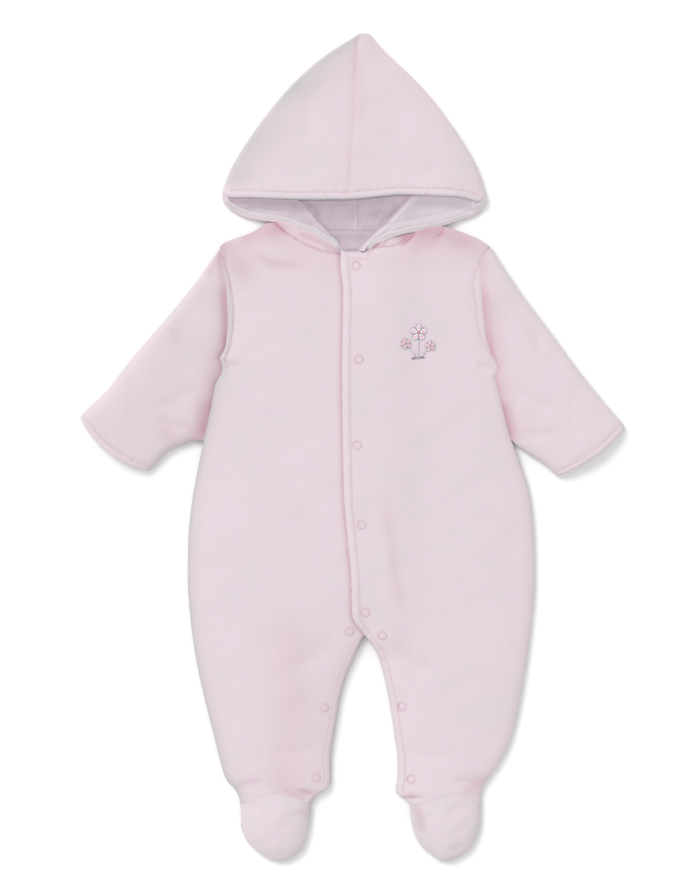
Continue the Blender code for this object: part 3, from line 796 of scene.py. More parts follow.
@dataclass(frozen=True)
class Jersey:
    """Cotton jersey lining: a fine rib knit, matt and greyer than the velour."""

    name: str = "cotton_jersey"
    light: str = "D0C6CC"
    shaded: str = "B3A1AD"
    rib_mm: float = 1.5  # real ribs are nearer 1 mm, too fine to show
    roughness: float = 0.95

    def make(self) -> Material:
        """Makes it: light to shaded by the flush paint, with upright ribs.

        Returns:
            Makes it: light to shaded by the painted shade, with upright ribs.
        """
        material, add, dress, place = principled(self.name)
        course = {"Scale": 0.314 / (self.rib_mm * MM), "Distortion": 1.6, "Detail": 1.0}
        ribs = add("TexWave", {"Vector": place, **course}, wave_type="BANDS", bands_direction="X")
        ribs = ribs.outputs["Fac"]
        cloud = add("TexNoise", {"Vector": place, "Scale": 1 / (9 * MM), "Detail": 3.0})
        flush = add("Attribute", attribute_name="flush").outputs["Fac"]
        within = {"From Min": 0.3, "From Max": 0.7}
        uneven = add("MapRange", {"Value": cloud, **within, "To Min": -0.12, "To Max": 0.12})
        knit = add("MapRange", {"Value": ribs, "To Min": 0.04, "To Max": -0.04})
        total = add("Math", {"0": uneven, "1": knit}, operation="ADD")
        # Painted shade darkens the lining towards its shaded tone.
        total = add("Math", {"0": total, "1": flush}, operation="ADD", use_clamp=True)
        tones = {"6": linear(self.light), "7": linear(self.shaded)}
        colour = add("Mix", {"Factor": total, **tones}, data_type="RGBA")
        dress({
            "Base Color": colour.outputs[2],
            "Normal": add("Bump", {"Height": ribs, "Strength": 0.2, "Distance": 0.25 * MM}),
            "Roughness": self.roughness,
            "Sheen Weight": 0.2,
            "Specular IOR Level": 0.15,
        })
        return material


@dataclass(frozen=True)
class EnamelledBrass:
    """Stamped brass prong ring under baked pink enamel: smooth, with a soft gloss."""

    name: str = "enamelled_brass"
    colour: str = "D6BDC7"
    roughness: float = 0.42

    def make(self) -> Material:
        """Makes it, with a faint unevenness in its gloss.

        Returns:
            The material.
        """
        material, add, dress, place = principled(self.name)
        cloud = add("TexNoise", {"Vector": place, "Scale": 1 / (1.5 * MM), "Detail": 2.0})
        least, most = self.roughness - 0.08, self.roughness + 0.12
        gloss = add("MapRange", {"Value": cloud, "To Min": least, "To Max": most})
        dress({"Base Color": linear(self.colour), "Roughness": gloss, "Coat Weight": 0.25})
        return material


@dataclass(frozen=True)
class Thread:
    """Twisted polyester or rayon thread: smooth strands that catch the light along their length."""

    name: str
    stops: tuple[tuple[float, str], ...]
    roughness: float = 0.5
    twist_mm: float = 0.4

    def make(self) -> Material:
        """Makes it, its dye picked from the stops by the paint's second channel, with a fine twist.

        Returns:
            The material.
        """
        material, add, dress, place = principled(self.name)
        dye = add("Attribute", attribute_name="sheen_shade_and_dye").outputs["Fac"]
        ramp = add("ValToRGB", {"Fac": dye})
        ramp.color_ramp.interpolation = "CONSTANT"
        while len(ramp.color_ramp.elements) < len(self.stops):
            ramp.color_ramp.elements.new(0.5)
        while len(ramp.color_ramp.elements) > max(1, len(self.stops)):
            ramp.color_ramp.elements.remove(ramp.color_ramp.elements[-1])
        for element, (position, code) in zip(ramp.color_ramp.elements, self.stops):
            element.position = position
            element.color = linear(code)
        twist = add("TexNoise", {"Vector": place, "Scale": 1 / (self.twist_mm * MM), "Detail": 1.0})
        bump = add("Bump", {"Height": twist, "Strength": 0.4, "Distance": 0.1 * MM})
        dress({"Base Color": ramp, "Normal": bump, "Roughness": self.roughness, "Sheen Weight": 0.15})
        return material


# ---- trunk and legs


@dataclass(frozen=True)
class BodyForm:
    """Outline, levels and fullness that fronts, back, sleeves and hood share."""

    level: float
    wall: float
    crotch: tuple[float, float] = (11.0, -170.0)
    ankle: float = -322.0
    high: float = 181.0
    edge_wall: float = 1.5
    edge_round: float = 8.0
    puff: float = 6.6
    puff_reach: float = 20.0
    armhole: tuple[float, float] = (-24.0, 181.0)
    armhole_hold: float = 14.0
    overlap_slope: float = 42.0
    neck_end: float = 76.0
    # Y and X of the side edges, from shoulder to ankle.
    sides: ClassVar[dict[Side, Curve]] = {
        Side.RIGHT: Curve((
            (181, -119.5), (166, -118.5), (146, -114.5), (110, -112.5), (91, -114.3), (84, -117.3),
            (80, -119.4), (75.5, -117.6), (70, -117.4), (56, -123.6), (33, -128), (11, -133), (-18, -139),
            (-48, -144.5), (-84, -148), (-120, -148.5), (-155, -146), (-191, -141), (-228, -133),
            (-264, -124), (-286, -118.5), (-300, -113.5), (-308, -106), (-315, -102.5), (-322, -101),
        )),
        Side.LEFT: Curve((
            (181, 123.5), (166, 117.5), (146, 117.8), (120, 119.2), (97, 121.8), (85, 125.2), (76.5, 129),
            (70.6, 130.6), (66.5, 129.8), (63, 128.5), (53, 130.5), (43, 132.8), (33, 135.5), (11, 141.5),
            (-18, 152), (-48, 160), (-84, 163), (-120, 163.5), (-155, 161), (-191, 156.5), (-228, 150.5),
            (-264, 142), (-286, 131), (-300, 121), (-308, 116), (-315, 115), (-322, 115),
        )),
    }
    # Y and X of the legs' inner edges.
    inseams: ClassVar[dict[Side, Curve]] = {
        Side.RIGHT: Curve((
            (-170, 11), (-178, 7), (-191, 1), (-209, -6.5), (-228, -11.5), (-246, -14.5), (-264, -17.5),
            (-282, -19.5), (-300, -19.5), (-306, -20.5), (-310, -26), (-315, -33.5), (-322, -38),
        )),
        Side.LEFT: Curve((
            (-170, 11), (-178, 17.5), (-191, 24), (-209, 29), (-228, 33), (-246, 36), (-264, 38.5),
            (-282, 41), (-300, 40.5), (-306, 39.4), (-310, 38.4), (-313.5, 41), (-316, 46.5), (-322, 51),
        )),
    }
    # Y and X of the left front's edge, and of the right front's edge under it.
    placket: Curve = Curve((
        (180, -10.5), (170, -11), (138, -8.5), (71, -9.5), (-12, -8.5), (-48, -7.5), (-76, -5), (-124, -1),
        (-148, -0.5), (-157, 1.5), (-163, 6), (-168, 10), (-170, 11.5),
    ))
    underlap: Curve = Curve(((180, 20), (-100, 22), (-140, 22), (-158, 17), (-166, 12), (-170, 10.5)))
    # X and Y of the shoulders and neckline, and of the arched seams over the feet.
    tops: ClassVar[dict[Side, Curve]] = {
        Side.RIGHT: Curve((
            (-119.5, 181), (-115, 184.5), (-106, 188), (-97, 191), (-88, 195), (-82, 199), (-77, 202),
            (-65, 203.5), (-56, 201), (-47, 198), (-38, 194.5), (-29, 190.5), (-20, 185), (-10, 178.5),
            (0, 176), (24, 176),
        )),
        Side.LEFT: Curve((
            (-12, 176.5), (8, 176.5), (14, 179), (19.5, 183), (25, 187), (34, 190), (43, 192.5),
            (52, 195.5), (61, 198), (70, 200), (82, 199), (88, 197.5), (97, 194.5), (106, 191), (115, 187),
            (119, 184.5), (123.5, 181),
        )),
    }
    vamps: ClassVar[dict[Side, Curve]] = {
        Side.RIGHT: Curve((
            (-101, -322), (-91, -318), (-82, -313), (-70, -311), (-56, -314), (-47, -317), (-37.5, -322),
        )),
        Side.LEFT: Curve((
            (51, -322), (62, -320.5), (74, -316.5), (83, -312.5), (92, -311), (103, -315.5), (115, -322),
        )),
    }

    def top(self, x: Grid) -> Grid:
        """Upper edge of the fronts: shoulder and neckline."""
        return np.where(x < 4, self.tops[Side.RIGHT].at(x), self.tops[Side.LEFT].at(x))

    def in_from_side(self, x: Grid, y: Grid, side: Side) -> Grid:
        """Distance in from a side edge, measured square to it: the level distance times its slope's cosine.

        Args:
            x, y: The points.
            side: Whose edge.

        Returns:
            The distance.
        """
        edge, step = self.sides[side].at(y), 4.0
        slope = (self.sides[side].at(y + step) - self.sides[side].at(y - step)) / (2 * step)
        return side.away * (edge - x) / np.sqrt(1 + slope**2)

    def in_from_inseam(self, x: Grid, y: Grid) -> Grid:
        """Distance from the legs' inner edges, or from the crotch above it.

        Args:
            x, y: The points.

        Returns:
            The distance.
        """
        right, left = self.inseams[Side.RIGHT].at(y) - x, x - self.inseams[Side.LEFT].at(y)
        over = np.hypot(x - self.crotch[0], y - self.crotch[1])
        return np.where(y > self.crotch[1], over, np.maximum(right, left))

    def held(self, y: Grid) -> Grid:
        """How far the armhole side stays full at its edge, where the sleeve lies under it."""
        low, high = self.armhole
        return self.armhole_hold * smooth((high - y) / 10) * smooth((y - low) / 74)

    def joined(self, y: Grid) -> Grid:
        """How far the side edge is sewn to the sleeve: 1 along the armhole, 0 below it."""
        return smooth((self.high - y) / 4) * smooth((y - 14) / 22)

    def closing(self, reach: Grid, y: Grid, side: Side) -> Grid:
        """How open the wall stays by a sewn side edge: half at the edge, more at the left shoulder."""
        high = smooth((y - 160) / 12) * (side is Side.LEFT)
        return smooth(0.5 + 0.12 * high + reach / (9 + 5 * high))

    def wall_in(self, inset: Grid) -> Grid:
        """The wall's thickness at a distance in from a closed edge, which it rounds down to."""
        return self.edge_wall + (self.wall - self.edge_wall) * quarter(inset, self.edge_round)

    def edge_top(self, y: Grid, side: Side) -> Grid:
        """Height of the upper face over the fronts' level at a side edge: its fullness and part-closed wall.

        Args:
            y: Heights along the edge.
            side: Whose edge.

        Returns:
            The height of the upper face.
        """
        x = self.sides[side].at(y)
        shoulder = quarter(self.top(x) - y, self.edge_round)
        opened = np.minimum(self.closing(0 * y, y, side) * self.joined(y), shoulder)
        return self.loft(x, y) + self.edge_wall + (self.wall - self.edge_wall) * opened

    def loft(self, x: Grid, y: Grid) -> Grid:
        """Fullness of the fronts: one fill for each closed edge, multiplied, with slow waves of the padding.

        Args:
            x, y: The points.

        Returns:
            The fullness.
        """
        share = filled(self.in_from_inseam(x, y), self.puff_reach) * filled(self.top(x) - y, self.puff_reach)
        for side in Side:
            share = share * filled(self.in_from_side(x, y, side) + self.held(y), self.puff_reach)
        swell = 0.45 * waves(x, y, 95.0, 5) + 0.22 * waves(x, y, 40.0, 6)
        return share * (self.puff + swell)

    def lift(self, x: Grid, y: Grid) -> Grid:
        """How far the left front rises to lie over the right front's underlap."""
        beyond = (x - self.underlap.at(y) - 6) / self.overlap_slope
        return self.wall * (1 - smooth(beyond)) * smooth((y + 194) / 22)


@dataclass
class Front:
    """One front with its leg, from the shoulder to the arched seam over the foot."""

    body: BodyForm
    side: Side
    presses: tuple[Press, ...]
    middle: int = 62
    row_step: float = 1.75
    placket_hem: float = 7.2
    leg_hem: float = 5.6
    free_round: float = 5.0
    free_fall: float = 3.6
    hem_roll: float = 0.25
    tuck_run: float = 9.0
    sheen_run: float = 3.2
    shade_run: float = 5.0
    strip: float = 6.4

    CUTS = {
        Side.RIGHT: Cut(174, 528, 0.0746, ("trunk_back",)),
        Side.LEFT: Cut(177, 524, 0.0721, ("right_front", "trunk_back")),
    }

    # X and Y of the stitched lines.
    ARMHOLES = {
        Side.RIGHT: (
            (-118, 173), (-114, 161), (-110, 146), (-107, 127), (-107.5, 110), (-109.5, 96), (-115, 77),
        ),
        Side.LEFT: (
            (115, 167), (110, 155), (109, 141.5), (111, 128), (112, 114.5), (115, 101), (119, 92),
            (126, 81),
        ),
    }
    NECK_SEAMS = {
        Side.RIGHT: (
            (-71, 203), (-63, 196), (-56, 190.5), (-43, 183), (-30, 177.5), (-20, 175.4), (-11, 174.5),
        ),
        Side.LEFT: ((12, 178.5), (25, 180), (36, 181), (43, 184), (48, 189), (53, 194)),
    }
    # Creases and tints paint shade: under the hood's rim, along the neck, beside the legs and in folds.
    # A crease gives its points, depth, width, painted shade, lean and fade, and a tint its points and width.
    DETAILS: ClassVar[dict[Side, tuple[Detail, ...]]] = {
        Side.RIGHT: (
            Crease(((-98, 182), (-84, 172), (-70, 165.5), (-52, 164), (-34, 167)), 0.6, 9.0, 0.26, 0.7, 0.45),
            Crease(((-72, 203), (-66, 198), (-58, 191)), 0.3, 1.2, 0.5, fade=0.4),
            Tint(((-92, 190), (-82, 193), (-68, 197)), 8.0, flush=0.34, seed=46),
            Tint(((-116, 178), (-108, 172), (-98, 158)), 14.0, flush=0.2, sheen_shade_and_dye=-0.06, seed=55),
            Tint(((-46, 192), (-29, 185), (-15, 177)), 2.6, flush=0.3, seed=47),
            Crease(((-118, 70), (-108, 74), (-98, 74)), 1.3, 4.0, 0.12),
            Crease(((-108, 40), (-86, 22), (-70, -6)), 0.6, 12.0),
            Crease(((-124, -90), (-108, -128), (-104, -170)), 0.7, 12.0),
            Crease(((-12, -160), (-34, -186), (-60, -196)), 0.9, 9.0, 0.05),
            Crease(((-22, -262), (-48, -272), (-78, -268)), 0.7, 8.0, 0.04),
            Crease(((-29, -310.5), (-38, -310.5), (-46, -308.5), (-54, -306)), 1.1, 2.3, 0.46, 1.9, 0.5),
            Crease(((-36, -318), (-52, -313), (-66, -306)), 0.9, 4.0, 0.16),
            Crease(((-104, -306), (-92, -302), (-78, -300)), 1.1, 4.5, 0.1),
            Tint(((-56, -170), (-54, -235), (-60, -300)), 20.0, flush=0.13, seed=41),
            Tint(((-66, 190), (-40, 176), (-18, 168)), 16.0, flush=0.14, seed=42),
            Tint(((-119, 181), (-82, 199), (-66, 201)), 13.0, flush=0.15, seed=44),
        ),
        Side.LEFT: (
            Crease(((24, 187), (20, 182), (16, 179)), 0.6, 1.4, 0.42, fade=0.4),
            Crease(((28, 187), (23, 182), (20, 178)), 0.6, 1.4, 0.42, fade=0.4),
            Crease(((33, 189), (29, 184), (27, 179)), 0.6, 1.4, 0.42, fade=0.4),
            Crease(((59, 196), (50, 187), (40, 178.5)), 1.0, 1.8, 0.55, 1.8, 0.4),
            Crease(((79, 201), (82, 196.5), (80, 192), (72, 188.5)), 0.7, 1.1, 0.55, fade=0.45),
            Tint(((66, 196), (84, 191), (100, 186)), 10.0, flush=0.28, seed=48),
            Tint(((46, 189), (60, 193), (76, 195)), 6.0, flush=0.3, seed=49),
            Tint(((15, 178), (28, 185.5), (46, 191.5)), 3.0, flush=0.4, seed=50),
            Crease(((82, 193), (70, 182), (52, 176)), 1.0, 8.0, 0.1, 0.7),
            Crease(((25, -30), (29, -47), (36, -102), (42, -140), (50, -160)), 0.6, 6.0, 0.14, 1.8),
            Crease(((131, 70), (120, 73), (110, 72)), 1.3, 4.0, 0.1),
            Crease(((120, 40), (98, 20), (86, -10)), 0.6, 12.0),
            Crease(((148, -60), (138, -110), (142, -160)), 0.7, 9.0),
            Crease(((32, -168), (54, -190), (80, -198)), 0.9, 9.0, 0.05),
            Crease(((46, -268), (74, -276), (104, -270)), 0.7, 8.0, 0.04),
            Crease(((42, -314), (50, -315), (56, -315), (64, -314)), 1.1, 2.3, 0.46, 1.9, 0.5),
            Tint(((104, -309), (111, -305), (118, -300)), 6.0, flush=0.2, seed=56),
            Crease(((118, -304), (104, -300), (90, -300)), 1.1, 4.5, 0.1),
            Tint(((62, 190), (40, 172), (22, 166)), 14.0, flush=0.1, seed=44),
            Tint(((123, 181), (88, 198), (70, 200)), 14.0, flush=0.2, seed=45),
            Tint(((108, 176), (86, 176), (60, 172)), 14.0, flush=0.1, seed=43),
        ),
    }
    # Depth and painted shade of the stitched grooves: each armhole's, and every other row's.
    SEWN = {Side.RIGHT: (0.5, 0.34), Side.LEFT: (0.3, 0.16), None: (0.12, 0.14)}

    def inner(self, heights: Grid) -> Grid:
        """Inner edge: placket or underlap above the crotch, inseam below it.

        Args:
            heights: Each row's height.

        Returns:
            X of the edge.
        """
        opening = self.body.underlap if self.side is Side.RIGHT else self.body.placket
        leg = self.body.inseams[self.side].at(heights) + 0.5 * self.side.away
        return np.where(heights > self.body.crotch[1], opening.at(heights), leg)

    def places(self) -> tuple[Grid, Grid]:
        """X and Y of the panel's grid.

        Returns:
            X and Y, rows by columns.
        """
        heights = down(self.body.high, self.body.ankle, self.row_step)
        outer, inner = self.body.sides[self.side].at(heights), self.inner(heights)
        inner = inner + 0.3 * waves(0 * heights, heights, 7.0, 33)
        ends = (outer, inner) if self.side is Side.RIGHT else (inner, outer)
        x = across(*ends, self.middle)
        top = self.body.tops[self.side].at(x)
        return x, bent(x, heights, top, self.body.vamps[self.side].at(x))

    def hem_line(self) -> Line:
        """Topstitching inside the placket and the leg's inner edge, as one line.

        Returns:
            The line.
        """
        heights = np.linspace(-172, -305, 20) if self.side is Side.RIGHT else np.linspace(173, -309, 60)
        inset = np.where(heights > self.body.crotch[1], self.placket_hem, self.leg_hem)
        inset = np.convolve(np.pad(inset, 2, mode="edge"), np.full(5, 0.2), "valid")
        x = self.inner(heights) + self.side.away * inset
        return Line(tuple(zip(x.tolist(), heights.tolist())))

    def seam_lines(self) -> tuple[Line, ...]:
        """Every stitched line of the panel.

        Returns:
            The armhole, the hem and, on the left, the row across the placket's top.
        """
        lines = [Line(self.ARMHOLES[self.side]), self.hem_line()]
        if self.side is Side.LEFT:
            lines.append(Line(((-2.5, 170), (5, 169.6), (13, 169.2), (14, 175))))
        return tuple(lines)

    def details(self) -> tuple[Detail, ...]:
        """Seams, creases, tints and snap hollows.

        Returns:
            The details, in the order that they are added.
        """
        rows = []
        for i, line in enumerate(self.seam_lines()):
            groove, flush = self.SEWN[self.side if i == 0 else None]
            rows.append(Seam(line.points, groove, 0.25, 0.2, flush, 20 + i))
        neck = Seam(self.NECK_SEAMS[self.side], groove=0.45, sink=0.6, pucker=0.3, flush=0.42, seed=31)
        return (*rows, neck, *self.presses, *self.DETAILS[self.side])

    def faces(self, x: Grid, y: Grid) -> tuple[Grid, Grid, Reading]:
        """Heights of the panel's upper and lower faces, and its details.

        Args:
            x, y: The points.

        Returns:
            The upper face, the lower face and the reading with the paint.
        """
        body, detail = self.body, read(self.details(), x, y)
        lift = body.lift(x, y) if self.side is Side.LEFT else 0.0
        base = body.level + body.loft(x, y) + lift
        side_reach = body.in_from_side(x, y, self.side)
        armhole = body.joined(y)
        joined = np.abs(x) > body.neck_end
        shoulder = np.where(joined, body.top(x) - y, FAR)
        rolled = body.closing(side_reach, y, self.side)
        closed = quarter(side_reach, body.edge_round) * (1 - armhole) + rolled * armhole
        closed = np.minimum(closed, quarter(shoulder, body.edge_round))
        side_fall = (body.wall - body.edge_wall) * (1 - closed)
        opening = self.side.away * (x - self.inner(y))
        hidden = (self.side is Side.RIGHT) & (y > body.crotch[1])
        free = np.minimum(np.where(hidden, FAR, opening), body.top(x) - y + FAR * joined)
        round_off = 1 - quarter(free, self.free_round)
        hem = self.placket_hem if self.side is Side.LEFT else self.leg_hem
        roll = self.hem_roll * smooth(opening / 1.5) * smooth((hem - opening) / 2.0) * ~hidden
        over = base + body.wall + detail.height - side_fall - self.free_fall * round_off + roll
        tucked = (1 - smooth(side_reach / self.tuck_run)) * armhole
        under = base * (1 - tucked) + body.level * tucked
        # Painted grey shade along the right side edge and in its armhole strip; painted sheen along the left
        # side edge.
        if self.side is Side.RIGHT:
            strip = armhole * smooth((y - 70) / 8)
            beyond = np.exp(-np.maximum(side_reach, 0) / self.shade_run)
            detail.sheen_shade_and_dye -= 0.8 * beyond * (1 - strip) + 0.4 * smooth((self.strip - side_reach) / 1.5) * strip
        else:
            detail.sheen_shade_and_dye += 0.12 * np.exp(-np.maximum(side_reach, 0) / self.sheen_run)
        # Painted sheen along the free edges.
        detail.sheen_shade_and_dye += 0.2 * np.exp(-np.maximum(free, 0) / 1.3)
        # Painted shade on the right front just beside the edge of the left front, which lies over it.
        if self.side is Side.RIGHT:
            beside = body.placket.at(y) - x
            edge = np.exp(-((np.maximum(beside, 0) / 2.8) ** 2)) * (y > body.crotch[1]) * (y < 176)
            detail.flush += 0.45 * edge
        return over, under, detail

    def build(self, velour: Material) -> Object:
        """Makes the front.

        Args:
            velour: The outer cloth's finish.

        Returns:
            The front.
        """
        x, y = self.places()
        over, under, detail = self.faces(x, y)
        piece = Piece(f"{self.side.value}_front")
        piece.shell(np.stack([x, y, over], -1), np.stack([x, y, under], -1), detail.flush, detail.sheen_shade_and_dye)
        return piece.make(velour, "velour", f"front_{self.side.value}", cut=self.CUTS[self.side])


@dataclass
class Back:
    """Trunk back with both back legs in one piece, flat on the surface."""

    body: BodyForm
    middle: int = 30
    row_step: float = 4.0
    cut: Cut = Cut(312, 525, 0.1373)
    neck: Rows = ((-77, 202), (-62, 199), (-40, 196), (45, 196), (66, 198), (82, 199))
    creases: tuple[Rows, ...] = (
        ((-90, 120), (-60, 100), (-50, 70)),
        ((90, 110), (66, 92), (58, 60)),
        ((-20, -150), (-50, -180), (-86, -186)),
        ((40, -160), (70, -184), (104, -186)),
    )

    def build(self, velour: Material) -> Object:
        """Makes the back: its upper face level, its lower face rounded up at the edges.

        Args:
            velour: The outer cloth's finish.

        Returns:
            The back.
        """
        body = self.body
        heights = down(body.high, body.ankle, self.row_step)
        heights = np.sort(np.append(heights, body.crotch[1]))[::-1]
        halves = []
        for side in Side:
            ends = (body.sides[side].at(heights), body.inseams[side].at(heights))
            halves.append(across(*(ends if side is Side.RIGHT else ends[::-1]), self.middle))
        x = np.concatenate(halves, axis=1)
        shoulders = [row for side in Side for row in body.tops[side].rows if abs(row[0]) > body.neck_end]
        top = Curve((*shoulders, *self.neck[1:-1])).at(x)
        y = bent(x, heights, top, np.full(x.shape, body.ankle))
        keep = np.ones((len(heights) - 1, x.shape[1] - 1), bool)
        keep[:, halves[0].shape[1] - 1] = False
        inset = np.minimum(body.in_from_side(x, y, Side.RIGHT), body.in_from_side(x, y, Side.LEFT))
        inset = np.minimum(np.minimum(inset, body.in_from_inseam(x, y)), top - y)
        dent = read(tuple(Crease(points, 0.6, 8.0) for points in self.creases), x, y)
        piece = Piece("trunk_back")
        under = body.wall - body.wall_in(inset) - dent.height * quarter(inset, body.edge_round)
        # Painted sheen along the outline.
        sheen_shade_and_dye = 0.6 * np.exp(-np.maximum(inset, 0) / 3.2)
        over = np.full(x.shape, body.wall)
        piece.shell(np.stack([x, y, over], -1), np.stack([x, y, under], -1), dent.flush, sheen_shade_and_dye, keep)
        return piece.make(velour, "velour", "back", cut=self.cut)


# ---- feet


@dataclass
class Foot:
    """Closed foot: its top, from the arched seam to the toe, over its sole."""

    body: BodyForm
    side: Side
    puff: float = 7.5
    puff_reach: float = 13.0
    seam_run: float = 22.0
    sheen_run: float = 4.0
    toe: float = -372.8
    middle: int = 34
    top_cut: tuple[float, float, float] = (66, 64, 0.00345)
    sole_cut: Cut = Cut(65, 52, 0.0029)

    # Y and X of the foot's outer and inner edges, then X and Y of its tints and creases.
    OUTERS = {
        Side.RIGHT: (
            (-322, -101), (-338, -100.5), (-353, -96.5), (-361, -89.5), (-367, -82.5), (-371, -75),
            (-372.8, -69),
        ),
        Side.LEFT: (
            (-322, 115), (-340, 114.5), (-353.5, 110.5), (-361, 106.5), (-366, 101), (-370.5, 94),
            (-372.8, 88),
        ),
    }
    INNERS = {
        Side.RIGHT: (
            (-322, -37.5), (-338, -39), (-353, -42), (-361, -45), (-367, -50), (-371, -56.5),
            (-372.8, -61.5),
        ),
        Side.LEFT: (
            (-322, 51), (-340, 53.5), (-353.5, 58), (-361, 63.5), (-366, 69.5), (-370.5, 75), (-372.8, 81),
        ),
    }
    PINCHES = {
        Side.RIGHT: ((-38.5, -323), (-41, -327), (-46, -329)),
        Side.LEFT: ((57, -326), (60, -334), (62, -342)),
    }
    CREASES = {
        Side.RIGHT: (
            ((-96, -326), (-84, -324), (-72, -327)),
            ((-44, -327), (-54, -331), (-66, -330)),
            ((-80, -362), (-68, -366), (-56, -362)),
        ),
        Side.LEFT: (
            ((106, -326), (96, -324), (84, -326)),
            ((56, -328), (66, -332), (78, -330)),
            ((86, -362.5), (94, -360.7), (101, -356)),
        ),
    }

    def places(self, middle: int, top: Curve | None) -> tuple[Grid, Grid]:
        """X and Y of a grid over the foot, its rows closing up towards the toe.

        Args:
            middle: How many places lie between those beside the edges.
            top: The arched seam, or nothing for a straight upper edge.

        Returns:
            X and Y, rows by columns.
        """
        heights = down(self.body.ankle, self.toe, 1.5)
        ends = [Curve(table[self.side]).at(heights) for table in (self.OUTERS, self.INNERS)]
        x = across(*(ends if self.side is Side.RIGHT else ends[::-1]), middle)
        upper = np.full(x.shape, self.body.ankle) if top is None else top.at(x)
        return x, bent(x, heights, upper, blend=30.0)

    def inset(self, x: Grid, y: Grid) -> Grid:
        """Distance in from the foot's closed outline."""
        points = (*self.OUTERS[self.side], *self.INNERS[self.side][::-1])
        return Line(tuple((edge, height) for height, edge in points), step=2.0).reach(x, y)[0]

    def surface(self, x: Grid, y: Grid) -> tuple[Grid, Grid, Reading]:
        """Upper face, lower face and details of the foot's top: full in the middle, round at the toe.

        Args:
            x, y: The points.

        Returns:
            The upper face, the lower face and the reading with the paint.
        """
        body, inset = self.body, self.inset(x, y)
        vamp = body.vamps[self.side].at(x) - y
        # Creases and the pinch at the ankle get painted shade.
        details = [Crease(points, 0.55, 3.6, 0.05) for points in self.CREASES[self.side]]
        details.append(Tint(self.PINCHES[self.side], 5.0, flush=0.22, seed=57))
        detail = read(tuple(details), x, y)
        own = self.puff * filled(inset, self.puff_reach)
        leg = body.loft(x, body.vamps[self.side].at(x))
        loft = leg + (own - leg) * smooth(vamp / self.seam_run)
        loft += 0.3 * waves(x, y, 16.0, 8) * filled(inset, 8.0) * smooth(vamp / 8)
        seam = 0.1 * bell(vamp, 3.2) + 0.12 * waves(x, y, 7.0, 9) * np.exp(-vamp / 5) * smooth(vamp / 2)
        fall = (body.wall - body.edge_wall) * (1 - quarter(inset, body.edge_round))
        over = body.level + body.wall + loft + detail.height - fall - seam
        # Painted sheen all over, more along the outline, and painted shade along the arched seam.
        detail.sheen_shade_and_dye += 0.2 + 0.6 * np.exp(-inset / self.sheen_run)
        detail.flush += 0.1 * bell(vamp, 1.4)
        return over, body.level + loft, detail

    def build(self, velour: Material) -> tuple[Object, Object]:
        """Makes the foot's top and its sole.

        Args:
            velour: The outer cloth's finish.

        Returns:
            The top and the sole.
        """
        x, y = self.places(self.middle, self.body.vamps[self.side])
        over, under, detail = self.surface(x, y)
        top = Piece(f"{self.side.value}_foot_top")
        top.shell(np.stack([x, y, over], -1), np.stack([x, y, under], -1), detail.flush, detail.sheen_shade_and_dye)
        x, y = self.places(12, None)
        inset = self.inset(x, y)
        wall = self.body.wall_in(inset)
        level = np.full(x.shape, self.body.wall)
        sole = Piece(f"{self.side.value}_sole")
        # Painted sheen along the sole's outline.
        sheen_shade_and_dye = 0.6 * np.exp(-inset / self.sheen_run)
        sole.shell(np.stack([x, y, level], -1), np.stack([x, y, level - wall], -1), 0 * x, sheen_shade_and_dye)
        return (
            top.make(velour, "velour", f"foot_top_{self.side.value}", cut=Cut(*self.top_cut, (sole.name,))),
            sole.make(velour, "velour", f"sole_{self.side.value}", cut=self.sole_cut),
        )


# ---- sleeves


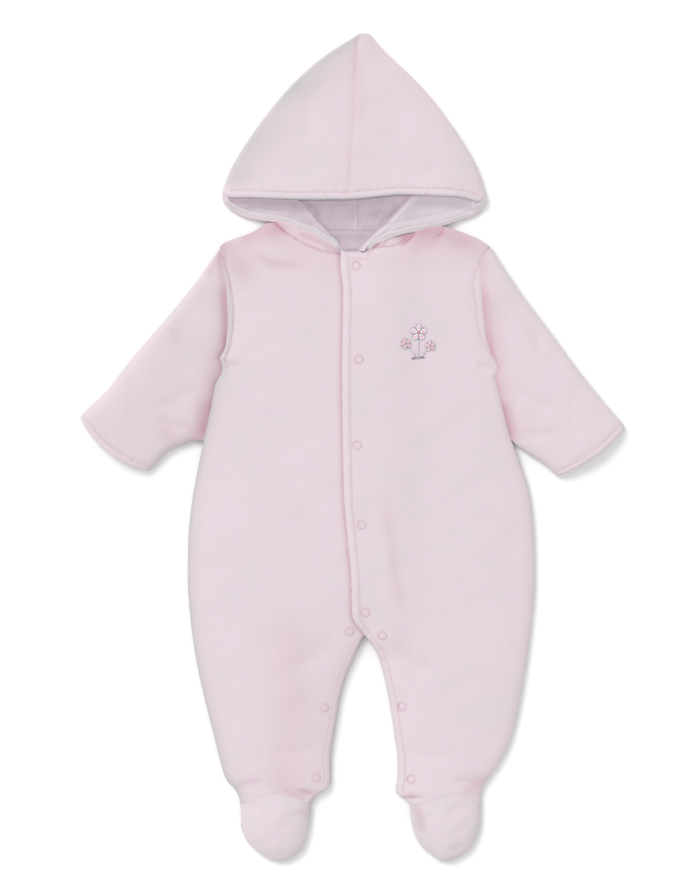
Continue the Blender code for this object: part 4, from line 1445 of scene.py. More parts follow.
@dataclass
class Sleeve:
    """Sleeve as a flat tube, tucked a little under the front's armhole edge and open at the cuff."""

    body: BodyForm
    side: Side
    fold: float = 6.0
    slot: float = 0.4
    puff: float = 6.2
    puff_reach: float = 15.0
    tuck: float = 0.8
    seam_allowance: float = 4.5
    press_reach: float = 6.0
    press_drop: float = 0.1
    flat: int = 54
    cap: int = 8
    hem: float = 5.6
    corner: float = 4.0
    cut: Cut = Cut(216, 200, 0.0275)
    stitches: Grid = field(init=False)
    cuff: Grid = field(init=False)

    # X and Y of the upper fold, X and Y of the sewn under edge, and how far the section bows to the cuff.
    ROWS = {
        Side.RIGHT: (
            (-120, 178, -117.5, 70, 0), (-146, 142.5, -126, 45, 0), (-173, 110, -133, 12, 0),
            (-198.5, 80.5, -148, 4, 1), (-223, 49, -166, -4, 3), (-237, 36, -175, -13, 5.5),
            (-247, 26, -184, -23, 8),
        ),
        Side.LEFT: (
            (124, 180.6, 131, 70, 0), (151, 140.5, 134, 45, 0), (178, 104.5, 143, 7, 0),
            (203, 70.5, 157, -5, 1), (227, 40.5, 172, -15, 3), (239, 26.5, 179, -21, 4),
            (247, 17.5, 185, -27, 4.5),
        ),
    }
    # The crease beside the front: the sleeve's rise there, then the depth, width and breadth of its painted
    # shade.
    CREASE = {Side.RIGHT: (0.8, 0.4, 5.2, 0.14), Side.LEFT: (1.9, 0.3, 3.9, 0.14)}
    # Columns as on the fronts.
    DETAILS: ClassVar[dict[Side, tuple[Detail, ...]]] = {
        Side.RIGHT: (
            Crease(((-171, 112), (-165, 109), (-160, 103), (-157, 94), (-155, 84)), -1.3, 1.7, fade=0.4),
            Crease(((-168, 109), (-163, 105), (-159.5, 98), (-158, 86)), 0.9, 2.2, 0.1, fade=0.4),
            Tint(((-119, 177), (-124, 169), (-129, 159)), 5.0, flush=0.16, sheen_shade_and_dye=-0.3, seed=58),
            Crease(((-128, 150), (-150, 118), (-164, 84)), 0.8, 9.0, 0.05),
            Crease(((-136, 60), (-158, 44), (-184, 36)), 0.9, 7.0, 0.06),
            Crease(((-142, 20), (-160, 20), (-180, 26)), 1.0, 5.0, 0.08),
            Crease(((-206, 66), (-196, 44), (-194, 22)), 0.6, 7.0),
            Tint(((-120, 84), (-126, 55), (-132, 20)), 11.0, flush=0.15, seed=51),
            Tint(((-132, 36), (-136, 22), (-139, 8)), 7.0, flush=0.3, seed=59),
            Tint(((-138, 130), (-176, 70), (-214, 14)), 38.0, flush=0.03, sheen_shade_and_dye=-0.16, seed=54),
            Tint(((-166, 12), (-158, 4), (-150, 4)), 7.0, flush=0.18, seed=52),
        ),
        Side.LEFT: (
            Crease(((132, 152), (152, 118), (166, 84)), 0.8, 9.0, 0.05),
            Crease(((146, 60), (168, 42), (192, 34)), 0.9, 7.0, 0.06),
            Crease(((150, 16), (170, 12), (190, 16)), 1.0, 5.0, 0.08),
            Crease(((206, 60), (198, 40), (196, 16)), 0.6, 7.0),
            Crease(((170, 108), (164, 96), (166, 80)), 1.0, 4.0, 0.08, 1.5),
            Tint(((124, 130), (130, 70), (140, 20)), 9.0, flush=0.16, seed=53),
            Tint(((136, 34), (139, 24), (142, 12)), 7.0, flush=0.4, seed=60),
        ),
    }

    def sewn_in(self, y: Grid) -> Grid:
        """How far the sleeve runs in under the front: an allowance that fades at both ends of the armhole."""
        return self.tuck + self.seam_allowance * smooth((y - 13) / 12) * smooth((181 - y) / 5)

    def columns(self) -> dict[str, Grid]:
        """Ends, bow and distance from the cuff of each section across the sleeve.

        Returns:
            The ends, bow and distance by name, each with a value a section.
        """
        rows = self.ROWS[self.side]
        station = range(len(rows))
        coarse = [Curve(tuple(zip(station, column))) for column in zip(*rows)]
        run = np.hypot(coarse[0].at(6.0) - coarse[0].at(0.0), coarse[1].at(6.0) - coarse[1].at(0.0))
        along = (run - down(float(run), 0.0, 2.0)) / run
        top_x, top_y, low_x, low_y, bow = (curve.at(along * 6) for curve in coarse)
        away = self.side.away
        beside = self.body.sides[self.side].at(low_y)
        sewn = beside - away * self.sewn_in(low_y)
        low_x = away * np.maximum(away * low_x, away * (beside - away * self.tuck))
        low_x = np.where(low_y > 6, sewn, low_x)
        middle = np.stack([top_x + low_x, top_y + low_y], axis=-1)[::-1] / 2
        cuff = np.concatenate([[0], np.cumsum(np.hypot(*np.diff(middle, axis=0).T))])[::-1]
        return {"top_x": top_x, "top_y": top_y, "low_x": low_x, "low_y": low_y, "bow": bow, "cuff": cuff}

    def section(self, width: Grid) -> tuple[tuple[Grid, Grid], tuple[Grid, Grid]]:
        """Distances and heights once round the tube, for its outer and inner faces.

        A half ellipse at the fold, a flat run, a half ellipse at the seam and a flat run back.

        Args:
            width: The flat width of each section.

        Returns:
            Outer and inner (distance, height above the middle).
        """
        half = self.body.wall + self.slot / 2
        angle = np.linspace(np.pi / 2, -np.pi / 2, self.cap + 1)
        share = np.linspace(0, 1, self.flat + 2)[1:-1]
        rings = []
        for reach, rise, offset in ((self.fold, half, 0.0), (2.0, self.slot / 2, self.body.wall)):
            far = offset + reach * (1 - np.cos(angle))
            span = width[:, None] - 2 * far[0]
            ahead = far[0] + span * share
            end = np.broadcast_to(far, (len(width), len(far)))
            distance = np.concatenate([end[:, ::-1], ahead, width[:, None] - end, ahead[:, ::-1]], axis=1)
            flat = np.full(self.flat, rise)
            height = np.concatenate([rise * np.sin(angle)[::-1], flat, rise * np.sin(angle), -flat])
            rings.append((distance, np.broadcast_to(height, distance.shape)))
        return rings[0], rings[1]

    def build(self, velour: Material) -> Object:
        """Makes the sleeve: each section's rings, raised by its fullness and pressed flat beside the body.

        Args:
            velour: The outer cloth's finish.

        Returns:
            The sleeve.
        """
        column, away, half = self.columns(), self.side.away, self.body.wall + self.slot / 2
        start = np.stack([column["top_x"], column["top_y"]], axis=-1)
        reach = np.stack([column["low_x"], column["low_y"]], axis=-1) - start
        width = np.hypot(*reach.T)
        ahead = reach / width[:, None]
        outward = np.stack([ahead[:, 1], -ahead[:, 0]], axis=-1) * -away
        # The cuff's two corners are rounded by drawing the last sections in.
        drawn_in = self.corner * (1 - quarter(column["cuff"], self.corner))
        start, width = start + ahead * drawn_in[:, None], width - 2 * drawn_in
        rise, deep, wide, broad = self.CREASE[self.side]
        faces, paints = [], []
        for distance, height in self.section(width):
            share = distance / width[:, None]
            bow = column["bow"][:, None] * 4 * share * (1 - share)
            place = start[:, None] + distance[..., None] * ahead[:, None] + bow[..., None] * outward[:, None]
            x, y = place[..., 0], place[..., 1]
            x[0] = self.body.sides[self.side].at(y[0]) - away * self.sewn_in(y[0])
            # Fullness, waves, creases and the cuff's stitched hem raise or lower the upper half.
            upper = smooth(0.5 + height / half)
            beyond = width[:, None] - distance
            loft = self.puff * filled(distance, self.puff_reach) * filled(beyond, self.puff_reach)
            loft += 0.35 * waves(x, y, 30.0, 15)
            detail = read(self.DETAILS[self.side], x, y)
            cuff = np.broadcast_to(column["cuff"][:, None], x.shape)
            stitch = 0.25 * bell(cuff - self.hem, 1.0) + 0.5 * bell(cuff - self.hem, 4.0)
            crimp = 0.3 * waves(x, y, 7.0, 16) * np.exp(-np.abs(cuff - self.hem) / 4)
            end = np.sign(height) * 1.8 * (1 - quarter(cuff, 3.5)) * (1 if not faces else -0.3)
            z = half + height + upper * (loft + detail.height - stitch + crimp) - end
            # Beside the body the sleeve is pressed down until it runs level in under the front's edge.
            beside = away * (x - self.body.sides[self.side].at(y))
            pressed = np.exp(-np.maximum(beside, 0) / self.press_reach) * smooth((y + 8) / 16)
            under = np.minimum(self.body.wall + rise, self.body.edge_top(y, self.side) - self.press_drop)
            flat = self.body.level + under * smooth(0.5 + 1.2 * height / half)
            faces.append(np.stack([x, y, z * (1 - pressed) + flat * pressed], axis=-1))
            # Painted sheen along the folded edges and the cuff.
            edge = np.minimum(distance, beyond)
            sheen_shade_and_dye = detail.sheen_shade_and_dye + 0.6 * np.exp(-edge / 3.5) * (1 - pressed) + 0.35 * np.exp(-cuff / 2.5)
            # Painted shade is deepest in the crease along the armhole, strongest between its two ends, with
            # more in the cuff's stitched groove.
            strong = smooth((152 - y) / 18) * smooth((y - 74) / 26)
            off = np.maximum(beside, 0)
            crease = (0.24 + deep * strong) * np.exp(-((off / (wide * (0.65 + 0.35 * strong))) ** 1.6))
            crease = (crease + broad * np.exp(-off / 7)) * smooth((y - 2) / 12)
            paints.append((detail.flush + 0.13 * bell(cuff - self.hem, 1.3) + crease, sheen_shade_and_dye))
        piece = Piece(f"{self.side.value}_sleeve")
        piece.shell(faces[0], faces[1], *paints[0], ring=True)
        self.stitches = faces[0][:, self.cap + 1 : self.cap + 1 + self.flat]
        self.cuff = column["cuff"]
        return piece.make(velour, "velour", f"sleeve_{self.side.value}", cut=self.cut)

    def cuff_line(self) -> Grid:
        """The stitched line inside the cuff, across the sleeve's upper face, where its surface lies.

        Returns:
            The line's points, count by three.
        """
        grid = self.stitches[::-1]
        at = np.interp(self.hem, self.cuff[::-1], np.arange(len(self.cuff)))
        low = int(at)
        return grid[low] * (1 - (at - low)) + grid[low + 1] * (at - low)


# ---- hood


@dataclass
class Hood:
    """One half of the pointed hood: its velour outside with the rolled rim, and its jersey lining."""

    body: BodyForm
    side: Side
    wall: float = 3.5
    slot: float = 0.5
    lining: float = 1.2
    fold: float = 4.8
    puff: float = 8.5
    puff_reach: float = 40.0
    lip_raise: float = 3.2
    lip_hem: float = 6.6
    lip_round: float = 3.0
    lip_fall: float = 2.1
    mouth: float = 219.0
    neck: float = 196.0
    peak: float = 372.8
    rest: float = 5.2
    lapel: float = 3.4
    band: float = 3.75
    bed: float = 5.0
    drop: float = 5.0
    deep: float = 4.8
    deep_rise: float = 8.5
    cut: Cut = Cut(246, 198, 0.0286)
    lining_cut: tuple[float, float, float] = (118, 70, 0.0056)
    lip_line: Grid = field(init=False)

    # Y and X of the outline, from the peak to the corner of the mouth.
    SIDES = {
        Side.RIGHT: (
            (372.8, 6.4), (371.3, 4), (366.5, -4), (357, -19), (347, -32.5), (330, -51.4), (312, -67.5),
            (294, -81.8), (276, -94.3), (258, -105.8), (241, -114.2), (229, -117.2), (219, -117.4),
        ),
        Side.LEFT: (
            (372.8, 14), (371, 17), (366.5, 20.5), (356.5, 29.5), (348.5, 38), (330.5, 57), (312.5, 73),
            (294.5, 86.5), (276.5, 98.7), (258.5, 109.2), (240.5, 117), (228, 120.2), (219, 120.6),
        ),
    }
    # Painted grey shade down the slope: its distance in, width, strength and seed, then its strength at the
    # outline, painted sheen where above 0.
    SLOPE_SHADE_AND_SHEEN = {Side.RIGHT: (5, 23.0, -0.48, 61, -0.2), Side.LEFT: (3, 10.0, -0.16, 63, 0.1)}
    # Y and X of the centre seams, and X and Y of the lip's edge.
    FRONT_SEAM: Curve = Curve((
        (219, -3.5), (237, -2.8), (258, -2.3), (285, -0.5), (306, 0.3), (345, 2.2), (362, 3.6), (369, 5.2),
        (372.8, 7),
    ))
    BACK_SEAM: Curve = Curve(((196, 4.5), (240, 4.5), (330, 4.5), (360, 6), (372.8, 7)))
    LIP: Curve = Curve((
        (-117.5, 229), (-114.5, 226.6), (-111, 225), (-105, 224.4), (-92, 224.3), (-74, 223.5),
        (-47, 222.5), (-11, 222.5), (7, 223.5), (25, 225.2), (43, 226.8), (61, 226.3), (79, 225.8),
        (97, 224.6), (106, 222.8), (112, 220.8), (115, 221.6), (120.5, 227),
    ))
    # X and Y of the rim's outer edge, then X and Y of its inner edge, from the mouth's corner to the neck.
    RIMS = {
        Side.RIGHT: (
            (-117.4, 229, -111.2, 225.2), (-117.3, 226, -111.2, 224.4), (-116.5, 221.4, -111, 223.2),
            (-113.8, 217.6, -109.6, 221.2), (-108.4, 213, -105.5, 219.2), (-98.5, 207.8, -96.5, 216),
            (-87, 204.9, -84.5, 212.2), (-66, 201.8, -64, 208.9), (-47, 195.3, -44.6, 203),
            (-29, 187.4, -25.5, 194.8), (-20, 182, -16.5, 188.5), (-14.5, 178, -11.2, 182.5),
            (-10.5, 175.6, -8.6, 177.4),
        ),
        Side.LEFT: (
            (120.5, 227, 112.4, 221), (120.5, 223, 112.2, 219.8), (119.6, 218.8, 111.5, 218.2),
            (116.9, 214.3, 109.8, 215.8), (111.5, 209.8, 106.8, 213.6), (105.1, 207.1, 101, 211.2),
            (97, 204.8, 93.5, 209), (82.5, 199.8, 80.5, 205.3), (60, 194.5, 58.5, 200.6),
            (43, 190.8, 41.5, 197.2), (25, 183.8, 23, 191.2), (19, 180.2, 16, 186.5),
            (16.5, 177.2, 11.6, 180.6), (15.4, 175.6, 9.4, 177.4),
        ),
    }
    # Y and X of the lapel's fold.
    FOLDS = {
        Side.RIGHT: Curve((
            (246, -75), (223, -50.3), (218, -44.6), (212, -39.4), (205.4, -34), (200, -28.6),
            (193.7, -22.4), (186.5, -16.2), (179, -9.6), (177, -8),
        )),
        Side.LEFT: Curve((
            (246, 76), (226, 55.2), (218, 48.2), (211, 41.2), (205.4, 36), (199, 29.4), (194.6, 24.8),
            (188.3, 18), (182, 11.5), (178, 8.4), (177, 8),
        )),
    }

    @property
    def inward(self) -> int:
        """The way along X from the side fold to the centre seam."""
        return -self.side.away

    def edge(self, heights: Grid) -> Grid:
        """X of the hood's outline at each height, along a smooth line."""
        points = Line(tuple((-height, edge) for height, edge in self.SIDES[self.side])).places(0.5)
        return np.interp(-heights, points[:, 0], points[:, 1])

    def inset(self, x: Grid, y: Grid) -> Grid:
        """Distance in from the hood's outline."""
        points = tuple((edge, height) for height, edge in self.SIDES[self.side])
        return Line(points).reach(x, y, within=140.0)[0]

    def fullness(self, x: Grid, y: Grid) -> Grid:
        """How full the hood stands: one fill in from the outline of each half, multiplied.

        Args:
            x, y: The points.

        Returns:
            The share, from 0 to 1.
        """
        share = np.ones(x.shape)
        for rows in self.SIDES.values():
            outline = Line(tuple((edge, height) for height, edge in rows))
            share = share * filled(outline.reach(x, y, within=140.0)[0], self.puff_reach)
        return share

    def ceiling(self, x: Grid, y: Grid, inset: Grid) -> Grid:
        """Underside of the front layer: full away from the outline and raised towards the lip.

        Args:
            x, y: The points.
            inset: Distance in from the outline.

        Returns:
            The height.
        """
        fullness = self.fullness(x, y)
        above = np.maximum(y - self.LIP.at(x), 0)
        loft = self.puff * fullness + self.lip_raise * np.exp(-above / 38) * smooth(inset / 32)
        ripple = 0.5 * waves(x, y, 60.0, 66) + 0.22 * waves(x, y, 26.0, 67)
        return self.wall + self.slot + loft + fullness * ripple

    def lapel_lift(self, x: Grid, y: Grid) -> Grid:
        """Underside of the turned-out lapel: low at the mouth's corner, resting on the fronts by the neck.

        Args:
            x, y: The points.

        Returns:
            The height.
        """
        corner = np.abs(x - (-117 if self.side is Side.RIGHT else 120))
        rest = self.rest + (self.body.lift(x - 8, y) if self.side is Side.LEFT else 0.0)
        return rest * smooth((252 - y) / 26) * smooth((corner + 4) / 84)

    def details(self) -> tuple[Detail, ...]:
        """Creases, puckers, painted shade and painted sheen of the front layer.

        Returns:
            The details, in the order that they are added.
        """
        away = self.side.away
        heights = np.linspace(self.mouth + 4, self.peak - 2, 24)
        centre = tuple(zip(self.FRONT_SEAM.at(heights).tolist(), heights.tolist()))
        upper = ((-2.8, 238), (-2.3, 258), (-0.5, 285), (0.3, 306), (1.4, 330), (3.0, 356), (4.6, 367))
        # Grey shade is painted down the slope, with grey shade at the right half's outline and sheen at the
        # left's.
        inset, width, laid, seed, rim = self.SLOPE_SHADE_AND_SHEEN[self.side]
        slope = tuple((edge - away * inset, height) for height, edge in self.SIDES[self.side])
        outline = tuple((edge, height) for height, edge in self.SIDES[self.side])
        return (
            Seam(centre, groove=0.0, sink=0.3, pucker=0.25, flush=0.04, seed=61),
            Tint(upper, 2.2, flush=0.11, seed=67),
            Tint(((6, 352), (5, 330), (7, 300)), 6.0, flush=0.1, seed=66),
            Crease(((away * 30, 330), (away * 40, 300), (away * 44, 262)), 0.7, 11.0, lean=0.7),
            Crease(((away * 84, 262), (away * 66, 246), (away * 40, 240)), 0.7, 8.0),
            Crease(((0, 262), (away * 16, 256), (away * 34, 258)), 0.5, 6.0),
            Tint(slope, width, sheen_shade_and_dye=laid, seed=seed),
            Tint(outline, 5.0, sheen_shade_and_dye=rim, seed=68),
            Tint(centre, 26.0, flush=0.04, seed=65),
        )

    def cover(self) -> tuple[Grid, Grid, Grid, Grid]:
        """Front layer, side fold and back layer as one grid: outer points, inner points, painted shade, and
        sheen and grey shade.

        Returns:
            Outer points, inner points, painted shade, and painted sheen and grey shade.
        """
        # Rows are level at the peak and turn to follow the lip as they near the mouth.
        heights = down(self.peak, self.mouth, 1.6)
        near = smooth((300 - heights) / (300 - self.mouth))[:, None]
        outer = self.edge(heights + near[:, 0] * (self.LIP.at(self.edge(heights)) - self.mouth))
        front = self.FRONT_SEAM.at(heights)
        back = self.BACK_SEAM.at(heights)
        width = np.abs(front - outer)[:, None]
        cap = np.minimum(self.fold, 0.4 * width)
        edge = np.minimum(EDGE_STEPS, (width - cap) * np.linspace(0, 0.6, len(EDGE_STEPS)))
        rest = width - cap - edge[:, -1:]
        distance = width - np.concatenate([edge, edge[:, -1:] + rest * np.linspace(0, 1, 76)[1:]], axis=1)
        x = outer[:, None] + self.inward * distance
        fuzz = 0.4 * waves(x, 0 * x, 2.4, 69) * smooth((232 - heights) / 12)[:, None]
        y = heights[:, None] + near * (self.LIP.at(x) - self.mouth) + fuzz
        above = np.maximum(y - self.LIP.at(x), 0)
        inset = self.inset(x, y)
        detail = read(self.details(), x, y)
        under = self.ceiling(x, y, inset)
        beside = smooth(distance / 10)
        # The lip rounds over at its edge and dips along its stitched hem.
        lip = 1 - quarter(above, self.lip_round)
        from_hem = above - self.lip_hem
        hem = 0.35 * smooth(above / 1.5) * smooth(-from_hem / 2) - 0.25 * bell(from_hem, 1.1)
        hem += (0.3 * waves(x, y, 9.0, 68) - 0.25) * bell(from_hem, 4.0)
        z_over = under + self.wall + detail.height + hem * beside - self.lip_fall * lip * beside
        z_under = under + 1.0 * lip * beside
        # Painted shade along the lip's stitched groove; painted sheen along the lip's edge, turning to grey
        # shade at its right end.
        flush = detail.flush + 0.2 * bell(from_hem, 0.8) * beside
        sheen_shade_and_dye = detail.sheen_shade_and_dye * smooth((above - 4) / 14) + (0.75 - smooth((-74 - x) / 20)) * bell(above, 2.8)
        front_over, front_under = np.stack([x, y, z_over], -1), np.stack([x, y, z_under], -1)
        row = np.abs(from_hem).argmin(0)
        self.lip_line = front_over[row, np.arange(len(row))]

        # The side fold is a half ellipse carried down the outline, and the back layer runs level from it.
        angle = np.linspace(np.pi / 2, -np.pi / 2, 11)[1:]
        half, small = self.wall + self.slot / 2, cap / self.fold
        shift = near * (self.LIP.at(outer)[:, None] - self.mouth)
        rings = []
        for reach, rise, offset in ((cap, half, 0 * cap), (2.0 * small, self.slot / 2, 3.4 * small)):
            edge_x = outer[:, None] + self.inward * (offset + reach * (1 - np.cos(angle)))
            edge_y = heights[:, None] + near * (self.LIP.at(edge_x) - self.mouth)
            puff = self.puff * self.fullness(edge_x, edge_y) * np.maximum(np.sin(angle), 0)
            rings.append(np.stack([edge_x, edge_y, half + rise * np.sin(angle) + puff], -1))
        share = np.linspace(0, 1, 14)[1:]
        behind = outer[:, None] + self.inward * (cap + (np.abs(back - outer)[:, None] - cap) * share)
        behind_y = heights[:, None] + shift * (1 - smooth(share * 4))
        over = np.concatenate([front_over, rings[0], np.stack([behind, behind_y, 0 * behind], -1)], axis=1)
        inner = np.stack([behind, behind_y, np.full(behind.shape, self.wall)], -1)
        inner_face = np.concatenate([front_under, rings[1], inner], axis=1)
        extra = over.shape[1] - flush.shape[1]
        flush = np.pad(flush, ((0, 0), (0, extra)))
        sheen_shade_and_dye = np.concatenate([sheen_shade_and_dye, np.repeat(sheen_shade_and_dye[:, -1:], extra, axis=1)], axis=1)
        return over, inner_face, flush, sheen_shade_and_dye

    def rim(self) -> tuple[Grid, Grid, Grid, Grid]:
        """Rolled rim round the mouth's corner and down the lapel: a roll, a band with painted sheen and a
        stitched groove.

        Each section runs from an outer to an inner point, both carried through the same rows.

        Returns:
            Outer points, inner points, flush and pale.
        """
        rows = np.array(self.RIMS[self.side], float)
        station = np.arange(len(rows))
        section = np.linspace(0, len(rows) - 1, 150)
        columns = [Line(tuple(zip(station.tolist(), rows[:, i].tolist()))).places(0.02) for i in range(4)]
        ox, oy, ix, iy = (np.interp(section, column[:, 0], column[:, 1])[:, None] for column in columns)
        t = np.linspace(0, 1, 27)[None]
        x, y = ox + (ix - ox) * t, oy + (iy - oy) * t
        width = np.hypot(ix - ox, iy - oy)
        at = width * t
        # Round the mouth's corner the roll is tighter and higher, and stands clear of the lapel.
        corner = smooth((y - 209) / 15) * smooth((np.abs(x) - 92) / 14)
        lift = self.lapel_lift(x, y) * (1 - corner)
        quilt = 0.25 * waves(x, y, 11.0, 71) + 0.12 * waves(x, y, 5.0, 72)
        pink = 0.34 * width * (1 - 0.75 * corner)
        rounded = 0.84 + 0.16 * quarter(at, 2.4 + 3.6 * corner)
        tail = 0.3 + 0.7 * smooth((len(rows) - 1 - section) / 1.4)[:, None]
        profile = (self.band + 3.6 * corner) * rounded * tail - 0.12 * bell(at - pink, 0.6)
        groove = 0.45 * bell(at - (width - 0.6), 0.9)
        over = lift + profile + 0.4 * bell(at - 0.66 * width, 1.6) - groove + quilt * smooth(at / 1.5)
        under = np.maximum(lift - self.bed - 4 * smooth((192 - y) / 8), 0.2)
        # Painted sheen: a little on the roll, more on the left roll, which lies in shade, and most on the
        # band; painted shade on the roll's outer side and in the stitched groove.
        roll_sheen = 0.1 if self.side is Side.RIGHT else 0.5
        sheen_shade_and_dye = roll_sheen + (0.7 - roll_sheen) * smooth((at - pink + 0.3) / 0.9)
        stitched = 0.22 * bell(at - (width - 0.4), 0.7) * (1 - 0.6 * corner)
        flush = 0.1 * (1 - smooth((at - pink) / 0.8)) * (1 - corner) + stitched
        return np.stack([x, y, over], -1), np.stack([x, y, np.minimum(under, over - 0.4)], -1), flush, sheen_shade_and_dye

    def lining_grid(self) -> tuple[Grid, Grid, NDArray[np.bool_]]:
        """Lining from under the rim over the lapel, down its fold and across to the centre back seam.

        Returns:
            Upper points, painted shade, and the cells to make.
        """
        heights = np.concatenate([np.linspace(246, self.neck, 50), np.linspace(self.neck, 176.4, 26)[1:]])
        rim = Curve(tuple({y: x for _, _, x, y in self.RIMS[self.side]}.items())).at(heights)
        start = rim - self.inward * 1.8 + self.inward * 8 * smooth((heights - 224) / 22)
        fold = self.FOLDS[self.side].at(heights)
        seam = np.full(heights.shape, 4.5)
        over_fold = fold + self.inward * np.minimum(self.drop, 0.8 * np.abs(seam - fold))
        parts = [(start, fold, 52), (fold, over_fold, 12), (over_fold, seam, 30)]
        shares = [np.linspace(0, 1, count + 1)[(i > 0) :] for i, (_, _, count) in enumerate(parts)]
        spans = [a[:, None] + (b - a)[:, None] * share for (a, b, _), share in zip(parts, shares)]
        x = np.concatenate(spans, axis=1)
        y = np.repeat(heights[:, None], x.shape[1], axis=1)
        # On the lapel the lining lies over the fronts, and past the fold it drops into the hood.
        beyond = self.inward * (x - fold[:, None])
        turned = 1 - smooth(beyond / self.drop) ** 0.8
        lift = self.lapel_lift(x, y)
        deep = self.deep + self.deep_rise * smooth((y - 202) / 26)
        bulge = 0.9 * bell(beyond + 2.5, 3.5) + 0.35 * waves(x, y, 22.0, 81) + 0.14 * waves(x, y, 8.0, 82)
        back_seam = 0.25 * bell(x - 3.6, 1.8) - 0.15 * bell(x - 4.9, 0.6)
        top = deep * (1 - turned) + (lift + self.lapel) * turned + bulge * np.clip(lift / 8, 0.3, 1)
        top += back_seam * (1 - turned)
        # Near the lip it comes up against the front layer's underside, and never through it.
        below = self.LIP.at(x) - y
        lip = quarter(np.maximum(-below, 0), self.lip_round)
        limit = self.ceiling(x, y, self.inset(x, y)) + 1.0 - lip + 0.15
        near = smooth(1 - below / (7 + 5 * turned)) * (0.45 + 0.55 * turned)
        top = np.minimum(top * (1 - near) + limit * near, limit + 30 * smooth((below - 0.5) / 7))
        # Painted shade inside the hood, behind the fold, under the lip and beside the rim, on a base of 0.3,
        # with less where the lapel lies open.
        flush = 0.3 + 0.34 * (1 - turned) + 0.2 * bell(beyond - 3, 2.5)
        flush += 0.16 * turned * smooth(1 - below / 12)
        flush -= 0.14 * turned * bell(beyond + 3, 5.0)
        flush += 0.1 * smooth((3 - below) / 5)
        behind = smooth((beyond - 0.5) / 2) * smooth((9 - beyond) / 6)
        from_rim = Line(tuple(row[2:] for row in self.RIMS[self.side])).reach(x, y)[0]
        if self.side is Side.LEFT:
            flush += 0.5 * behind * smooth((y - 204) / 8)
            flush += turned * (0.12 * bell(from_rim - 6, 1.0) - 0.5 * smooth((5.8 - from_rim) / 2))
            flush += 0.34 * turned * smooth(1 - below / 5)
            flush -= 0.25 * turned * smooth((x - 50) / 30)
        if self.side is Side.RIGHT:
            flush += 0.3 * turned * bell(beyond + 5, 6.0) * smooth((y - 205) / 10)
            flush += turned * (0.2 * bell(from_rim - 3.6, 0.6) + 0.3 * bell(np.hypot(x + 109, y - 223), 7.0))
            light = 0.26 * smooth((below - 3) / 8) * smooth((-x - 56) / 12)
            flush += turned * (0.4 * smooth(1 - below / 7) - light)
            shade = 0.8 * smooth((beyond - 1) / 3) * smooth((11 - beyond) / 5) * smooth((y - 206) / 8)
            flush += 0.2 * turned + shade
        flush += (0.3 * bell(x - 4.9, 0.5) - 0.16 * bell(x - 3.4, 1.5)) * (1 - turned)
        keep = np.ones((len(heights) - 1, x.shape[1] - 1), bool)
        keep[heights[1:] < self.neck - 0.01, parts[0][2] + parts[1][2] :] = False
        return np.stack([x, y, top], -1), flush, keep

    def build(self, velour: Material, jersey: Material) -> tuple[Object, Object]:
        """Makes the half's outside and its lining.

        Args:
            velour: The outer cloth's finish.
            jersey: The lining's finish.

        Returns:
            The half's outside and its lining.
        """
        outside = Piece(f"{self.side.value}_hood")
        outside.shell(*self.cover())
        over, under, flush, sheen_shade_and_dye = self.rim()
        outside.shell(over, under, flush, sheen_shade_and_dye)
        over, flush, keep = self.lining_grid()
        low = over - [0, 0, self.lining]
        lining = Piece(f"{self.side.value}_hood_lining")
        lining.shell(over, low, flush, 0 * flush, keep)
        x, y, top = np.moveaxis(low, -1, 0)
        under = np.clip(np.minimum(self.lapel_lift(x, y), top - 1.2), 0.2, None)
        backing = keep & (y[1:, 1:] < self.mouth + 3)
        outside.shell(low, np.stack([x, y, under], -1), 0 * flush, 0 * flush, backing)
        cut = Cut(*self.lining_cut, (outside.name,))
        return (
            outside.make(velour, "velour", f"hood_{self.side.value}", cut=self.cut),
            lining.make(jersey, "jersey", f"hood_lining_{self.side.value}", cut=cut),
        )


@dataclass
class BackLining:
    """Lining of the back that shows in the neck, below the hood lining's level seam."""

    body: BodyForm
    low_x: float = -31.0
    high_x: float = 39.0
    neck: float = 196.0
    knit: float = 1.0
    rows: int = 24
    columns: int = 50
    cut: Cut = Cut(70, 20, 0.001, ("trunk_back",))

    def build(self, jersey: Material) -> Object:
        """Makes it: level, with a soft roll under the seam, and shade painted deeper towards the neckline.

        Args:
            jersey: The lining's finish.

        Returns:
            The lining.
        """
        x = np.repeat(np.linspace(self.low_x, self.high_x, self.columns)[None], self.rows, axis=0)
        low = np.clip(self.body.top(x) - 1.2, 174.8, self.neck - 1.5)
        share = np.linspace(0, 1, self.rows)[:, None]
        y = (self.neck - 0.05) * (1 - share) + low * share
        level = self.body.wall + self.knit
        top = level + 0.7 * bell(y - self.neck + 4, 3.0) + 0.25 * waves(x, y, 14.0, 91)
        top += 2.9 * smooth((186 - y) / 8)
        # Painted shade all over, deeper under the seam and towards the neckline.
        flush = 0.66 + 0.4 * bell(y - self.neck, 1.2) + 0.3 * smooth((181 - y) / 4)
        piece = Piece("neck_lining")
        piece.shell(np.stack([x, y, top], -1), np.stack([x, y, top - self.knit], -1), flush, 0 * flush)
        return piece.make(jersey, "jersey", "back_lining", cut=self.cut)


# ---- snaps and motif


